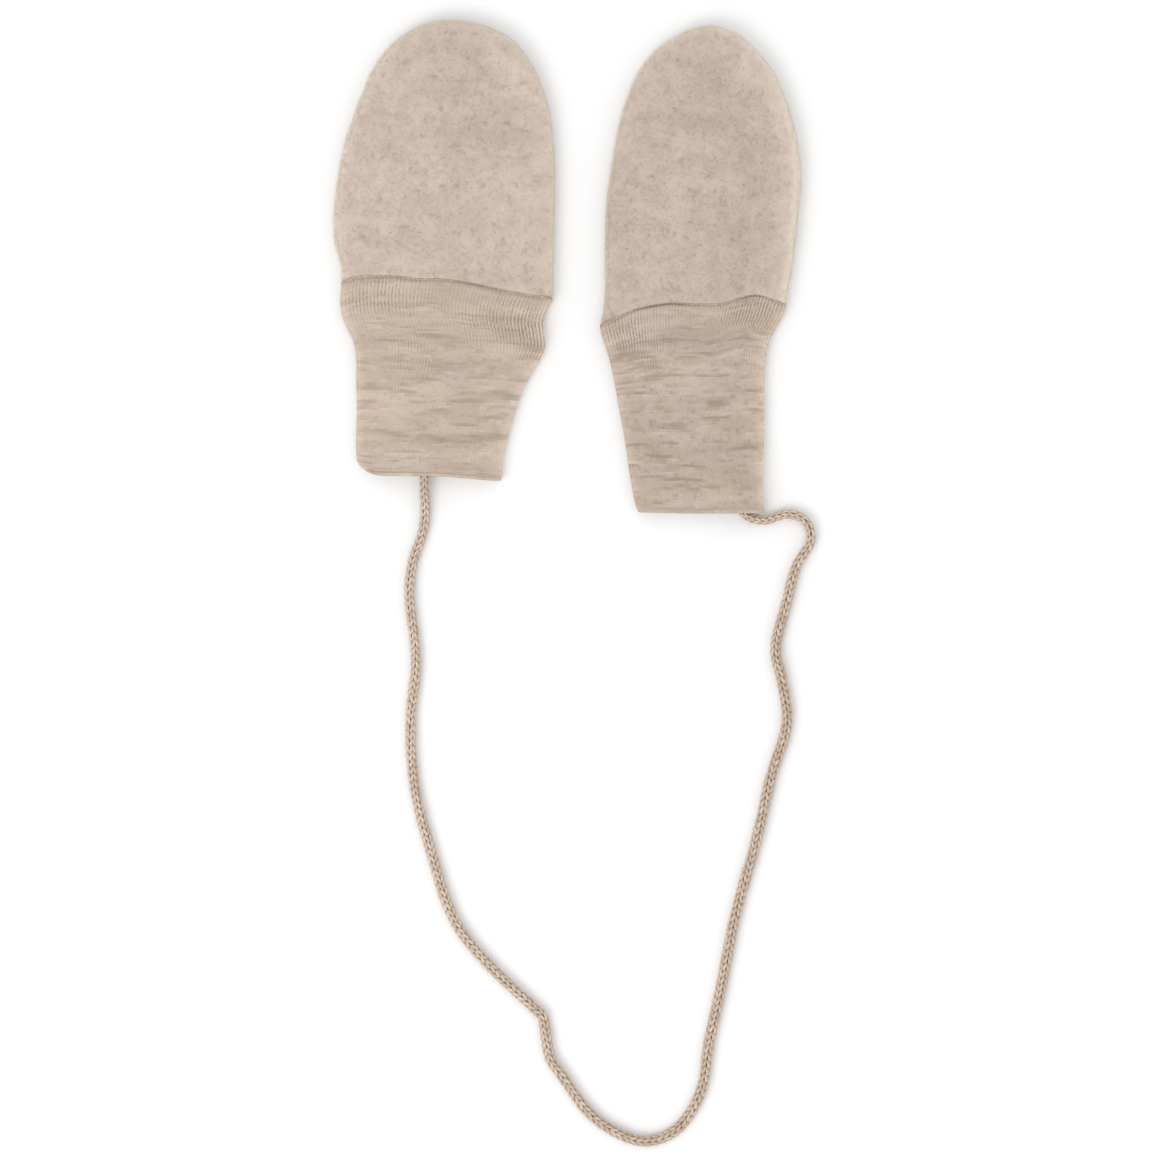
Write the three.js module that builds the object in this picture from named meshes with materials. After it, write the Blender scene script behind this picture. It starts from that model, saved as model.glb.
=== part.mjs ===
// A pair of baby mittens joined by a cord, laid flat on a table.
// Units are millimetres: X runs to the right, Y towards the fingertips, Z up from the table.
// The origin is on the table, in the middle of the two mittens without their cord.

import * as THREE from "three";
import { mergeVertices } from "three/addons/utils/BufferGeometryUtils.js";

// Cloth
const FLEECE_THICK = 3.0;
const CUFF_THICK = 1.9;
const SEAM_GAP = 0.36;

// Hand, two fleece panels that lie on each other
const HAND_SEAM_HEIGHT = 3.5;
const HAND_TOP = 7.2;
const HAND_CROWN = 0.9;
const HAND_CROWN_REACH = 18;
const HAND_ROUND = 5.2;
const HAND_UNDER_ROUND = 3.6;
const PANEL_GAP = 0.3;
const HAND_DIP = 1.7;
const HAND_DIP_REACH = 2.4;
const HAND_HOLLOW_DIP = 0.5;

// Cuff, a flattened tube of doubled rib knit
const CUFF_SEAM_HEIGHT = 2.7;
const CUFF_TOP = 5.5;
const CUFF_ROUND = 2.9;
const CUFF_DIP = 0.9;
const CUFF_DIP_REACH = 1.8;
const CUFF_HOLLOW_DIP = 0.6;
const RIBS_ACROSS = 58;
const RIB_RELIEF = 0.3;
const RIB_FADE = 24;
const RIB_LEAST = 0.3;
const MOUTH_LIFT_INSIDE = 9;
const MOUTH_LIFT_FADE = 14;

// Cord
const CORD_DIAMETER = 3.9;
const CORD_SIDES = 8;
const CORD_STEPS = 80;

// Mesh density
const FRONT_COLUMNS = 20;
const BACK_COLUMNS = 12;
const HAND_ROWS = 25;
const HAND_ROW_CROWD = 1.25;
const HAND_BOW_FADE = 6;
const CUFF_ROWS = 7;
const CUFF_ROW_CROWD = 1.2;
const CUFF_LAST_ROW = 0.985;
const CUFF_HOLLOW_ROWS = 4;
const CUFF_HOLLOW_CROWD = 0.6;
const CUFF_BOW_FADE = 3;
const CUFF_UNDER_COLUMNS = 22;
const OUTLINE_SAMPLES = 220;

// Colours
const FLEECE_COLOUR = 0xcfbead;
const CUFF_COLOUR = 0xc4b3a2;
const CORD_COLOUR = 0xb9a48f;

// Outline rows run from the seam to the fingertip or the mouth, a row for each place
// where the two side edges change direction.
const LEFT = {
  name: "left",
  hand: [
    { leftX: -74.5, leftY: -5.8, rightX: -4.7, rightY: -10.8 },
    { leftX: -75.0, leftY: 0.9, rightX: -4.4, rightY: -1.7 },
    { leftX: -77.0, leftY: 7.8, rightX: -4.2, rightY: 6.8 },
    { leftX: -77.2, leftY: 17.1, rightX: -4.1, rightY: 17.1 },
    { leftX: -76.0, leftY: 28.6, rightX: -3.9, rightY: 28.6 },
    { leftX: -73.7, leftY: 40.5, rightX: -4.4, rightY: 41.2 },
    { leftX: -71.0, leftY: 48.6, rightX: -5.4, rightY: 49.3 },
    { leftX: -68.1, leftY: 56.4, rightX: -7.2, rightY: 56.6 },
    { leftX: -64.8, leftY: 63.9, rightX: -10.2, rightY: 64.2 },
    { leftX: -60.2, leftY: 70.9, rightX: -14.3, rightY: 71.0 },
    { leftX: -54.9, leftY: 75.7, rightX: -19.2, rightY: 75.7 },
    { leftX: -49.3, leftY: 79.1, rightX: -25.8, rightY: 79.1 },
    { leftX: -44.0, leftY: 80.9, rightX: -32.1, rightY: 80.9 },
  ],
  tip: { x: -38.4, y: 81.4 },
  cuff: [
    { leftX: -74.5, leftY: -5.8, rightX: -4.7, rightY: -10.8 },
    { leftX: -75.0, leftY: -11.0, rightX: -6.4, rightY: -13.8 },
    { leftX: -74.4, leftY: -16.0, rightX: -7.9, rightY: -18.2 },
    { leftX: -72.6, leftY: -20.4, rightX: -7.5, rightY: -22.9 },
    { leftX: -70.5, leftY: -25.0, rightX: -7.4, rightY: -27.0 },
    { leftX: -69.7, leftY: -30.8, rightX: -10.1, rightY: -32.8 },
    { leftX: -69.6, leftY: -38.7, rightX: -13.9, rightY: -39.2 },
    { leftX: -69.4, leftY: -46.6, rightX: -16.9, rightY: -46.8 },
    { leftX: -69.6, leftY: -53.9, rightX: -19.1, rightY: -54.5 },
    { leftX: -69.7, leftY: -60.0, rightX: -20.9, rightY: -61.4 },
    { leftX: -69.2, leftY: -64.4, rightX: -21.5, rightY: -66.8 },
    { leftX: -67.0, leftY: -67.3, rightX: -21.7, rightY: -70.9 },
  ],
  seam: [
    { across: 0, rise: 0 },
    { across: 0.06, rise: 2.2 },
    { across: 0.17, rise: 3.4 },
    { across: 0.27, rise: 3.8 },
    { across: 0.37, rise: 3.4 },
    { across: 0.47, rise: 3.9 },
    { across: 0.62, rise: 3.2 },
    { across: 0.75, rise: 1.9 },
    { across: 0.87, rise: 1.0 },
    { across: 1, rise: 0 },
  ],
  mouth: [
    { across: 0, rise: 0 },
    { across: 0.08, rise: -1.1 },
    { across: 0.22, rise: -1.0 },
    { across: 0.5, rise: -0.1 },
    { across: 1, rise: 0 },
  ],
  mouthLift: { x: -47.1, wide: 10, rise: 3.2 },
  handFolds: [
    { x: -60, y: 22, long: 30, wide: 9, turn: 75, rise: 0.45 },
    { x: -38, y: 8, long: 26, wide: 8, turn: 8, rise: -0.5 },
    { x: -17, y: 30, long: 28, wide: 8, turn: 100, rise: 0.4 },
    { x: -30, y: 56, long: 22, wide: 9, turn: 130, rise: -0.4 },
    { x: -50, y: 60, long: 18, wide: 8, turn: 60, rise: 0.35 },
  ],
  cuffFolds: [
    { x: -12, y: -26, long: 9, wide: 4.5, turn: 20, rise: 1.5 },
    { x: -19, y: -32.5, long: 13, wide: 2.6, turn: 28, rise: -0.55 },
    { x: -13, y: -17.5, long: 8, wide: 2.6, turn: -12, rise: -0.45 },
    { x: -67, y: -57.5, long: 5, wide: 1.8, turn: 4, rise: -0.4 },
    { x: -50, y: -14, long: 22, wide: 5, turn: -5, rise: 0.5 },
  ],
};

const RIGHT = {
  name: "right",
  hand: [
    { leftX: 10.7, leftY: -20.0, rightX: 72.2, rightY: -13.2 },
    { leftX: 11.9, leftY: -12.3, rightX: 73.0, rightY: -7.7 },
    { leftX: 12.1, leftY: -3.1, rightX: 74.3, rightY: -1.2 },
    { leftX: 12.1, leftY: 8.8, rightX: 75.5, rightY: 8.8 },
    { leftX: 12.5, leftY: 19.4, rightX: 76.5, rightY: 19.4 },
    { leftX: 13.7, leftY: 29.6, rightX: 77.4, rightY: 29.9 },
    { leftX: 15.4, leftY: 40.3, rightX: 76.2, rightY: 40.3 },
    { leftX: 17.4, leftY: 49.1, rightX: 74.2, rightY: 48.9 },
    { leftX: 19.8, leftY: 56.9, rightX: 71.6, rightY: 56.7 },
    { leftX: 23.2, leftY: 64.2, rightX: 68.1, rightY: 64.3 },
    { leftX: 28.0, leftY: 70.3, rightX: 63.4, rightY: 70.3 },
    { leftX: 33.6, leftY: 74.5, rightX: 58.7, rightY: 74.8 },
    { leftX: 40.0, leftY: 77.9, rightX: 53.6, rightY: 78.0 },
  ],
  tip: { x: 47.1, y: 79.4 },
  cuff: [
    { leftX: 10.7, leftY: -20.0, rightX: 72.2, rightY: -13.2 },
    { leftX: 11.5, leftY: -23.3, rightX: 70.3, rightY: -17.7 },
    { leftX: 12.9, leftY: -27.5, rightX: 67.4, rightY: -22.7 },
    { leftX: 14.2, leftY: -32.0, rightX: 65.8, rightY: -28.3 },
    { leftX: 15.3, leftY: -37.2, rightX: 65.1, rightY: -35.2 },
    { leftX: 16.6, leftY: -44.3, rightX: 64.9, rightY: -43.8 },
    { leftX: 18.0, leftY: -52.0, rightX: 64.9, rightY: -51.9 },
    { leftX: 19.4, leftY: -60.4, rightX: 64.8, rightY: -60.4 },
    { leftX: 20.5, leftY: -68.3, rightX: 64.5, rightY: -68.4 },
    { leftX: 21.7, leftY: -75.3, rightX: 64.4, rightY: -75.6 },
    { leftX: 23.1, leftY: -81.1, rightX: 64.6, rightY: -81.4 },
  ],
  seam: [
    { across: 0, rise: 0 },
    { across: 0.08, rise: 2.2 },
    { across: 0.18, rise: 4.3 },
    { across: 0.27, rise: 5.0 },
    { across: 0.38, rise: 5.2 },
    { across: 0.53, rise: 3.9 },
    { across: 0.66, rise: 3.3 },
    { across: 0.75, rise: 4.3 },
    { across: 0.83, rise: 4.8 },
    { across: 0.91, rise: 3.2 },
    { across: 1, rise: 0 },
  ],
  mouth: [
    { across: 0, rise: 0 },
    { across: 0.5, rise: -0.25 },
    { across: 1, rise: 0 },
  ],
  mouthLift: { x: 57.0, wide: 8.5, rise: 3.4 },
  handFolds: [
    { x: 26, y: 24, long: 32, wide: 9, turn: 95, rise: 0.45 },
    { x: 46, y: 4, long: 24, wide: 8, turn: -6, rise: -0.5 },
    { x: 63, y: 30, long: 30, wide: 9, turn: 80, rise: 0.4 },
    { x: 40, y: 52, long: 22, wide: 8, turn: 40, rise: -0.4 },
    { x: 58, y: 58, long: 18, wide: 8, turn: 120, rise: 0.35 },
  ],
  cuffFolds: [
    { x: 16, y: -24, long: 8, wide: 4, turn: -62, rise: 0.9 },
    { x: 63, y: -17, long: 9, wide: 4, turn: 60, rise: 0.8 },
    { x: 62, y: -25, long: 10, wide: 2.4, turn: 30, rise: -0.5 },
    { x: 25, y: -76, long: 10, wide: 1.8, turn: 3, rise: -0.35 },
    { x: 40, y: -27, long: 24, wide: 5, turn: 2, rise: 0.45 },
  ],
};

// The cord's middle line, from inside the left mouth, round, and into the right mouth.
const CORD_ROUTE = [
  { x: -47.1, y: -62.5, z: 4.3 },
  { x: -47.1, y: -68.5, z: 4.3 },
  { x: -47.1, y: -74.3, z: 3.5 },
  { x: -46.8, y: -81.0, z: 2.3 },
  { x: -47.8, y: -88.0, z: 2.1 },
  { x: -50.8, y: -96.8, z: 2.1 },
  { x: -52.1, y: -106.7, z: 2.1 },
  { x: -49.9, y: -130.4, z: 2.1 },
  { x: -51.6, y: -148.0, z: 2.1 },
  { x: -51.3, y: -163.0, z: 2.1 },
  { x: -49.5, y: -176.0, z: 2.1 },
  { x: -46.0, y: -189.2, z: 2.1 },
  { x: -37.2, y: -215.6, z: 2.1 },
  { x: -27.3, y: -228.8, z: 2.1 },
  { x: -11.5, y: -244.0, z: 2.1 },
  { x: -8.2, y: -247.3, z: 2.1 },
  { x: -7.1, y: -253.6, z: 2.1 },
  { x: -5.5, y: -261.4, z: 2.1 },
  { x: -1.8, y: -266.8, z: 2.1 },
  { x: 6.8, y: -278.7, z: 2.1 },
  { x: 14.9, y: -284.9, z: 2.1 },
  { x: 25.6, y: -288.5, z: 2.1 },
  { x: 35.6, y: -284.9, z: 2.1 },
  { x: 43.6, y: -273.0, z: 2.1 },
  { x: 46.8, y: -255.2, z: 2.1 },
  { x: 50.0, y: -241.0, z: 2.1 },
  { x: 55.4, y: -214.0, z: 2.1 },
  { x: 62.3, y: -189.2, z: 2.1 },
  { x: 67.5, y: -167.1, z: 2.1 },
  { x: 72.4, y: -150.4, z: 2.1 },
  { x: 70.7, y: -136.0, z: 2.1 },
  { x: 68.7, y: -126.5, z: 2.1 },
  { x: 72.4, y: -110.6, z: 2.1 },
  { x: 75.5, y: -98.9, z: 2.1 },
  { x: 80.3, y: -90.2, z: 2.1 },
  { x: 78.7, y: -84.2, z: 2.1 },
  { x: 73.2, y: -81.6, z: 2.2 },
  { x: 64.4, y: -83.7, z: 3.0 },
  { x: 58.2, y: -81.6, z: 4.1 },
  { x: 55.7, y: -73.5, z: 4.3 },
];

// Reads a smooth curve through the rows of a seam or mouth table.
function riseAt(table, across) {
  const last = table.length - 1;
  let row = 0;
  while (row < last - 1 && across > table[row + 1].across) {
    row += 1;
  }
  const slope = (from) =>
    (table[from + 1].rise - table[from].rise) / (table[from + 1].across - table[from].across);
  const here = slope(row);
  const start = row > 0 ? (slope(row - 1) + here) / 2 : here;
  const end = row < last - 1 ? (slope(row + 1) + here) / 2 : here;
  const span = table[row + 1].across - table[row].across;
  const t = (across - table[row].across) / span;
  const tt = t * t;
  const ttt = tt * t;
  return (
    (2 * ttt - 3 * tt + 1) * table[row].rise +
    (ttt - 2 * tt + t) * span * start +
    (3 * tt - 2 * ttt) * table[row + 1].rise +
    (ttt - tt) * span * end
  );
}

// Height of a quarter circle, from 0 at the edge to 1 where the rounding ends.
function quarterRound(share) {
  const left = 1 - Math.min(Math.max(share, 0), 1);
  return Math.sqrt(1 - left * left);
}

// A soft bell, 1 at the middle and nearly 0 beyond twice its reach.
function bell(distance, reach) {
  return Math.exp(-((distance / reach) ** 2));
}

// Columns across a piece, closer together towards its two side edges.
function columnsAcross(count) {
  return Array.from({ length: count + 1 }, (_, i) => 0.5 - 0.5 * Math.cos((Math.PI * i) / count));
}

// Sum of the soft ridges and troughs of a table at one place.
function foldHeight(folds, x, y) {
  let height = 0;
  for (const fold of folds) {
    const turn = THREE.MathUtils.degToRad(fold.turn);
    const dx = x - fold.x;
    const dy = y - fold.y;
    const along = dx * Math.cos(turn) + dy * Math.sin(turn);
    const aside = dy * Math.cos(turn) - dx * Math.sin(turn);
    height += fold.rise * bell(along, fold.long / 2) * bell(aside, fold.wide);
  }
  return height;
}

// The hand's edge as one curve, up the left side, over the fingertip and down the right.
function handEdge(mitten) {
  const up = mitten.hand.map((row) => new THREE.Vector2(row.leftX, row.leftY));
  const down = mitten.hand.map((row) => new THREE.Vector2(row.rightX, row.rightY)).reverse();
  return new THREE.SplineCurve([...up, new THREE.Vector2(mitten.tip.x, mitten.tip.y), ...down]);
}

// A point of the edge, moved inwards by the given distance.
function insetPoint(edge, t, inset) {
  const point = edge.getPoint(t);
  const tangent = edge.getTangent(t);
  return new THREE.Vector2(point.x + tangent.y * inset, point.y - tangent.x * inset);
}

// Shortest distance from a place to the edge, which is given as a row of close samples.
function distanceTo(samples, x, y) {
  let nearest = Infinity;
  for (let i = 1; i < samples.length; i += 1) {
    const from = samples[i - 1];
    const alongX = samples[i].x - from.x;
    const alongY = samples[i].y - from.y;
    const projected = (x - from.x) * alongX + (y - from.y) * alongY;
    const share = THREE.MathUtils.clamp(projected / (alongX ** 2 + alongY ** 2), 0, 1);
    const away = Math.hypot(from.x + share * alongX - x, from.y + share * alongY - y);
    nearest = Math.min(nearest, away);
  }
  return nearest;
}

// Height along Y of the line where a hand meets its cuff, at a place across the mitten.
function seamLineAt(mitten, x) {
  const end = mitten.hand[0];
  const across = THREE.MathUtils.clamp((x - end.leftX) / (end.rightX - end.leftX), 0, 1);
  return end.leftY + (end.rightY - end.leftY) * across + riseAt(mitten.seam, across);
}

// One layer of a hand panel: rows of points whose heights come from heightAt.
function handLayer(mitten, columns, inset, heightAt) {
  const edge = handEdge(mitten);
  const samples = edge.getPoints(OUTLINE_SAMPLES);
  const chordPoint = (along, across) =>
    insetPoint(edge, along / 2, inset).lerp(insetPoint(edge, 1 - along / 2, inset), across);
  const rows = [];
  for (let row = 0; row <= HAND_ROWS; row += 1) {
    const along = (row / HAND_ROWS) ** HAND_ROW_CROWD;
    const bow = (1 - along) ** HAND_BOW_FADE;
    rows.push(
      columns.map((across) => {
        const start = chordPoint(0, across);
        const toSeam = seamLineAt(mitten, start.x) + SEAM_GAP / 2 - start.y;
        const point = chordPoint(along, across);
        const x = point.x;
        const y = point.y + toSeam * bow;
        const fromSeam = Math.max(y - seamLineAt(mitten, x), 0);
        const onEdge = across === 0 || across === 1 || row === HAND_ROWS;
        const fromEdge = onEdge ? inset : distanceTo(samples, x, y);
        const height = heightAt({ x, y, fromEdge, fromSeam });
        return new THREE.Vector3(x, y, height);
      }),
    );
  }
  return rows;
}

// Height of the hand's upper face.
function handTopAt(mitten, place) {
  const base = HAND_SEAM_HEIGHT + PANEL_GAP / 2;
  const shoulder = quarterRound(place.fromEdge / HAND_ROUND);
  const crown = HAND_CROWN * (1 - bell(place.fromEdge, HAND_CROWN_REACH));
  const folds = foldHeight(mitten.handFolds, place.x, place.y) * shoulder;
  const dip = HAND_DIP * bell(place.fromSeam, HAND_DIP_REACH) * shoulder;
  return base + (HAND_TOP - base) * shoulder + crown + folds - dip;
}

// Height of the front panel's inner face, just above the back panel.
function frontInnerAt(mitten, place) {
  const base = HAND_SEAM_HEIGHT + PANEL_GAP / 2;
  const inside = quarterRound((place.fromEdge - FLEECE_THICK) / HAND_ROUND);
  const flat = HAND_TOP - FLEECE_THICK - base;
  const crown = HAND_CROWN * (1 - bell(place.fromEdge, HAND_CROWN_REACH));
  const folds = foldHeight(mitten.handFolds, place.x, place.y);
  const dip = HAND_HOLLOW_DIP * bell(place.fromSeam, HAND_DIP_REACH);
  return base + (flat + crown + folds - dip) * inside;
}

// Height of the back panel's inner face.
function backInnerAt(mitten, place) {
  const rim = HAND_SEAM_HEIGHT - PANEL_GAP / 2;
  const inside = quarterRound((place.fromEdge - FLEECE_THICK) / HAND_ROUND);
  return rim - (rim - FLEECE_THICK) * inside;
}

// Height of the face that lies on the table, flat apart from its rounded edge.
function handUnderAt(mitten, place) {
  const rim = HAND_SEAM_HEIGHT - PANEL_GAP / 2;
  return rim * (1 - quarterRound(place.fromEdge / HAND_UNDER_ROUND));
}

// Adds the two triangles of a four-sided face, leaving out those that have no area.
function addFace(positions, a, b, c, d) {
  for (const triangle of [
    [a, b, c],
    [a, c, d],
  ]) {
    const area = new THREE.Triangle(...triangle).getArea();
    if (area > 1e-7) {
      triangle.forEach((corner) => positions.push(corner.x, corner.y, corner.z));
    }
  }
}

// A geometry with shared corners and smooth normals from a list of positions.
function geometryFrom(positions) {
  const geometry = new THREE.BufferGeometry();
  geometry.setAttribute("position", new THREE.Float32BufferAttribute(positions, 3));
  const merged = mergeVertices(geometry, 1e-4);
  merged.computeVertexNormals();
  return merged;
}

// A closed wall between an upper and a lower grid of points with the same rows and columns.
function wallBetween(upper, lower) {
  const positions = [];
  const rows = upper.length - 1;
  const columns = upper[0].length - 1;
  for (let row = 0; row < rows; row += 1) {
    for (let column = 0; column < columns; column += 1) {
      const next = column + 1;
      const above = row + 1;
      addFace(positions, upper[row][column], upper[row][next], upper[above][next], upper[above][column]);
      addFace(positions, lower[above][column], lower[above][next], lower[row][next], lower[row][column]);
    }
    const [up, upAbove] = [upper[row], upper[row + 1]];
    const [low, lowAbove] = [lower[row], lower[row + 1]];
    addFace(positions, up[0], upAbove[0], lowAbove[0], low[0]);
    addFace(positions, low[columns], lowAbove[columns], upAbove[columns], up[columns]);
  }
  for (let column = 0; column < columns; column += 1) {
    const next = column + 1;
    addFace(positions, lower[0][column], lower[0][next], upper[0][next], upper[0][column]);
    addFace(positions, upper[rows][column], upper[rows][next], lower[rows][next], lower[rows][column]);
  }
  return geometryFrom(positions);
}

// The front panel of a hand.
function handFront(mitten) {
  const columns = columnsAcross(FRONT_COLUMNS);
  const outer = handLayer(mitten, columns, 0, (place) => handTopAt(mitten, place));
  const inner = handLayer(mitten, columns, FLEECE_THICK, (place) => frontInnerAt(mitten, place));
  return wallBetween(outer, inner);
}

// The back panel of a hand, which lies on the table.
function handBack(mitten) {
  const columns = columnsAcross(BACK_COLUMNS);
  const inner = handLayer(mitten, columns, FLEECE_THICK, (place) => backInnerAt(mitten, place));
  const outer = handLayer(mitten, columns, 0, (place) => handUnderAt(mitten, place));
  return wallBetween(inner, outer);
}

// The two side edges of a cuff, each a curve from the seam to the mouth.
function cuffEdges(mitten) {
  return {
    left: new THREE.SplineCurve(mitten.cuff.map((row) => new THREE.Vector2(row.leftX, row.leftY))),
    right: new THREE.SplineCurve(mitten.cuff.map((row) => new THREE.Vector2(row.rightX, row.rightY))),
  };
}

// Extra height of the cuff's upper wall, from its folds and over the cord's end.
function cuffLift(mitten, x, fromMouth, y) {
  const arch = mitten.mouthLift;
  const archEnd = MOUTH_LIFT_INSIDE + MOUTH_LIFT_FADE;
  const nearMouth = 1 - THREE.MathUtils.smoothstep(fromMouth, MOUTH_LIFT_INSIDE, archEnd);
  return arch.rise * bell(x - arch.x, arch.wide) * nearMouth + foldHeight(mitten.cuffFolds, x, y);
}

// Where a column of the cuff lies: along the top from left to right, then back underneath.
function cuffColumns() {
  const steps = RIBS_ACROSS * 2;
  const top = [];
  for (let step = 0; step <= steps; step += 1) {
    top.push({ across: step / steps, upper: true, raised: step % 2 === 1 ? 1 : 0 });
  }
  const under = columnsAcross(CUFF_UNDER_COLUMNS)
    .slice(1, -1)
    .reverse()
    .map((across) => ({ across, upper: false, raised: 0 }));
  return [...top, ...under];
}

// One ring of the cuff; depth 0 is its outer face and depth 1 its inner face.
function cuffRing(mitten, edges, along, endInset, depth) {
  const left = edges.left.getPoint(along);
  const right = edges.right.getPoint(along);
  const width = right.distanceTo(left);
  const inset = (CUFF_THICK * depth) / width;
  const length = edges.left.getPoint(0).y - edges.left.getPoint(1).y;
  const fromSeam = along * length;
  const fromMouth = (1 - along) * length;
  return cuffColumns().map((column) => {
    const across = inset + (1 - 2 * inset) * column.across;
    const chord = left.y + (right.y - left.y) * across;
    const seamRise = riseAt(mitten.seam, across) * (1 - along) ** CUFF_BOW_FADE;
    const mouthRise = riseAt(mitten.mouth, across) * along ** CUFF_BOW_FADE;
    const x = left.x + (right.x - left.x) * across;
    const y = chord + seamRise + mouthRise - (SEAM_GAP / 2) * (1 - along) + endInset;
    const fromSide = Math.min(across, 1 - across) * width;
    const outerShoulder = quarterRound(fromSide / CUFF_ROUND);
    const innerShoulder = quarterRound((fromSide - CUFF_THICK) / CUFF_ROUND);
    if (!column.upper) {
      const outer = CUFF_SEAM_HEIGHT * (1 - outerShoulder);
      const inner = CUFF_SEAM_HEIGHT - (CUFF_SEAM_HEIGHT - CUFF_THICK) * innerShoulder;
      return new THREE.Vector3(x, y, outer + (inner - outer) * depth);
    }
    const lift = cuffLift(mitten, x, fromMouth, y);
    const height = CUFF_TOP - CUFF_SEAM_HEIGHT;
    const dip = bell(fromSeam, CUFF_DIP_REACH);
    const strength = Math.max(bell(fromSeam, RIB_FADE), RIB_LEAST);
    const rib = column.raised * RIB_RELIEF * strength * quarterRound(fromSide / CUFF_ROUND);
    const outer = CUFF_SEAM_HEIGHT + (height + lift - CUFF_DIP * dip) * outerShoulder + rib;
    const inner =
      CUFF_SEAM_HEIGHT + (height - CUFF_THICK + lift - CUFF_HOLLOW_DIP * dip) * innerShoulder;
    return new THREE.Vector3(x, y, outer + (inner - outer) * depth);
  });
}

// Joins rings that follow each other round a closed loop into one tube wall.
function closedRings(rings) {
  const positions = [];
  rings.forEach((ring, index) => {
    const following = rings[(index + 1) % rings.length];
    ring.forEach((point, column) => {
      const next = (column + 1) % ring.length;
      addFace(positions, point, following[column], following[next], ring[next]);
    });
  });
  return geometryFrom(positions);
}

// The cuff: outer face from seam to mouth, folded edge at the mouth, inner face back up.
function cuff(mitten) {
  const edges = cuffEdges(mitten);
  const rings = [];
  for (let row = 0; row < CUFF_ROWS; row += 1) {
    const along = (row / CUFF_ROWS) ** CUFF_ROW_CROWD * CUFF_LAST_ROW;
    rings.push(cuffRing(mitten, edges, along, 0, 0));
  }
  const foldedEdge = [
    { back: 0.95, depth: 0 },
    { back: 0.12, depth: 0.22 },
    { back: 0.12, depth: 0.78 },
    { back: 0.95, depth: 1 },
  ];
  for (const step of foldedEdge) {
    rings.push(cuffRing(mitten, edges, 1, step.back, step.depth));
  }
  for (let row = CUFF_HOLLOW_ROWS - 1; row >= 0; row -= 1) {
    const along = (row / CUFF_HOLLOW_ROWS) ** CUFF_HOLLOW_CROWD;
    rings.push(cuffRing(mitten, edges, along, 0, 1));
  }
  return closedRings(rings);
}

// The cord as one round tube along its route.
function cord() {
  const points = CORD_ROUTE.map((place) => new THREE.Vector3(place.x, place.y, place.z));
  const section = new THREE.Shape();
  section.absarc(0, 0, CORD_DIAMETER / 2, 0, Math.PI * 2);
  return new THREE.ExtrudeGeometry(section, {
    curveSegments: CORD_SIDES / 2,
    steps: CORD_STEPS,
    extrudePath: new THREE.CatmullRomCurve3(points),
  });
}

// A named piece of cloth or cord.
function piece(name, geometry, color) {
  const material = new THREE.MeshStandardMaterial({ color, roughness: 0.95, metalness: 0 });
  const mesh = new THREE.Mesh(geometry, material);
  mesh.name = name;
  return mesh;
}

const mittens = new THREE.Group();
for (const mitten of [LEFT, RIGHT]) {
  mittens.add(piece(`${mitten.name}_hand_front`, handFront(mitten), FLEECE_COLOUR));
  mittens.add(piece(`${mitten.name}_hand_back`, handBack(mitten), FLEECE_COLOUR));
  mittens.add(piece(`${mitten.name}_cuff`, cuff(mitten), CUFF_COLOUR));
}
mittens.add(piece("cord", cord(), CORD_COLOUR));

export default mittens;
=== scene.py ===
import math

import bmesh
import bpy
import numpy as np
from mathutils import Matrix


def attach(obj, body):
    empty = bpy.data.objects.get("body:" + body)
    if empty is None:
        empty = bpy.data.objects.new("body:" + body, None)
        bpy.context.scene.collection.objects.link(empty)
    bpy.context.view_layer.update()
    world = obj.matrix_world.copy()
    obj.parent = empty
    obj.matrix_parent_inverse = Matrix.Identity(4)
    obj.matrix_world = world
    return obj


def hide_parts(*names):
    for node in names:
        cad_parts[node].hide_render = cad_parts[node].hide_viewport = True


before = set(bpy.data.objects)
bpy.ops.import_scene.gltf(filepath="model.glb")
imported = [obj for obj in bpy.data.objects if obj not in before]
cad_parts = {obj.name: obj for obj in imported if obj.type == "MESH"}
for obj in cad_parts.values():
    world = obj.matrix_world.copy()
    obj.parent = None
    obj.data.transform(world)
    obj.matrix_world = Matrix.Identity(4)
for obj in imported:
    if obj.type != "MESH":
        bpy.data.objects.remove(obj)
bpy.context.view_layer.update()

# Camera
# It looks straight down on the mittens, which lie flat on a white table, and takes in 383 mm
# of the table from side to side.
PICTURE_WIDTH = 0.3828
PICTURE_MIDDLE = (0.00419, -0.10337)
CAMERA_HEIGHT = 2.6
SENSOR_WIDTH = 36


def put(name, data):
    """A new object with this data, in the scene."""
    made = bpy.data.objects.new(name, data)
    bpy.context.scene.collection.objects.link(made)
    return made


camera_lens = bpy.data.cameras.new("camera")
camera_lens.sensor_width = SENSOR_WIDTH
camera_lens.lens = SENSOR_WIDTH * CAMERA_HEIGHT / PICTURE_WIDTH
camera = put("camera", camera_lens)
camera.location = (*PICTURE_MIDDLE, CAMERA_HEIGHT)
bpy.context.scene.camera = camera

# Cord
# A thin tube of knitted wool, four columns of stitches round, that keeps the mittens together.
# It leaves the left mouth, lies in one long loop on the table and goes into the right mouth.
CORD_DIAMETER = 0.0039
CORD_COLUMNS = 4
CORD_CORE_RADIUS = 0.00126
CORD_STEP = 0.0006
STITCH_LENGTH = 0.00232
STITCH_REACH = 1.34
STITCH_SUNK = 0.00030
STITCH_BULGE = 0.00052
STITCH_SHIFT = 0.00006
STITCH_UNEVEN = 0.00003
COLUMN_STAGGER = 0.15
LEG_START = 0.085
LEG_SPREAD = 0.33
YARN_WIDE = 0.00057
YARN_DEEP = 0.00050
YARN_TUCKED = 0.55
YARN_LIGHT = (226, 207, 189)
YARN_MIDDLE = (203, 181, 161)
# Brown of the yarn's flecks, and of the painted shade in the gaps between the stitches
YARN_DARK_AND_GAP_SHADE = (106, 84, 66)

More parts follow.
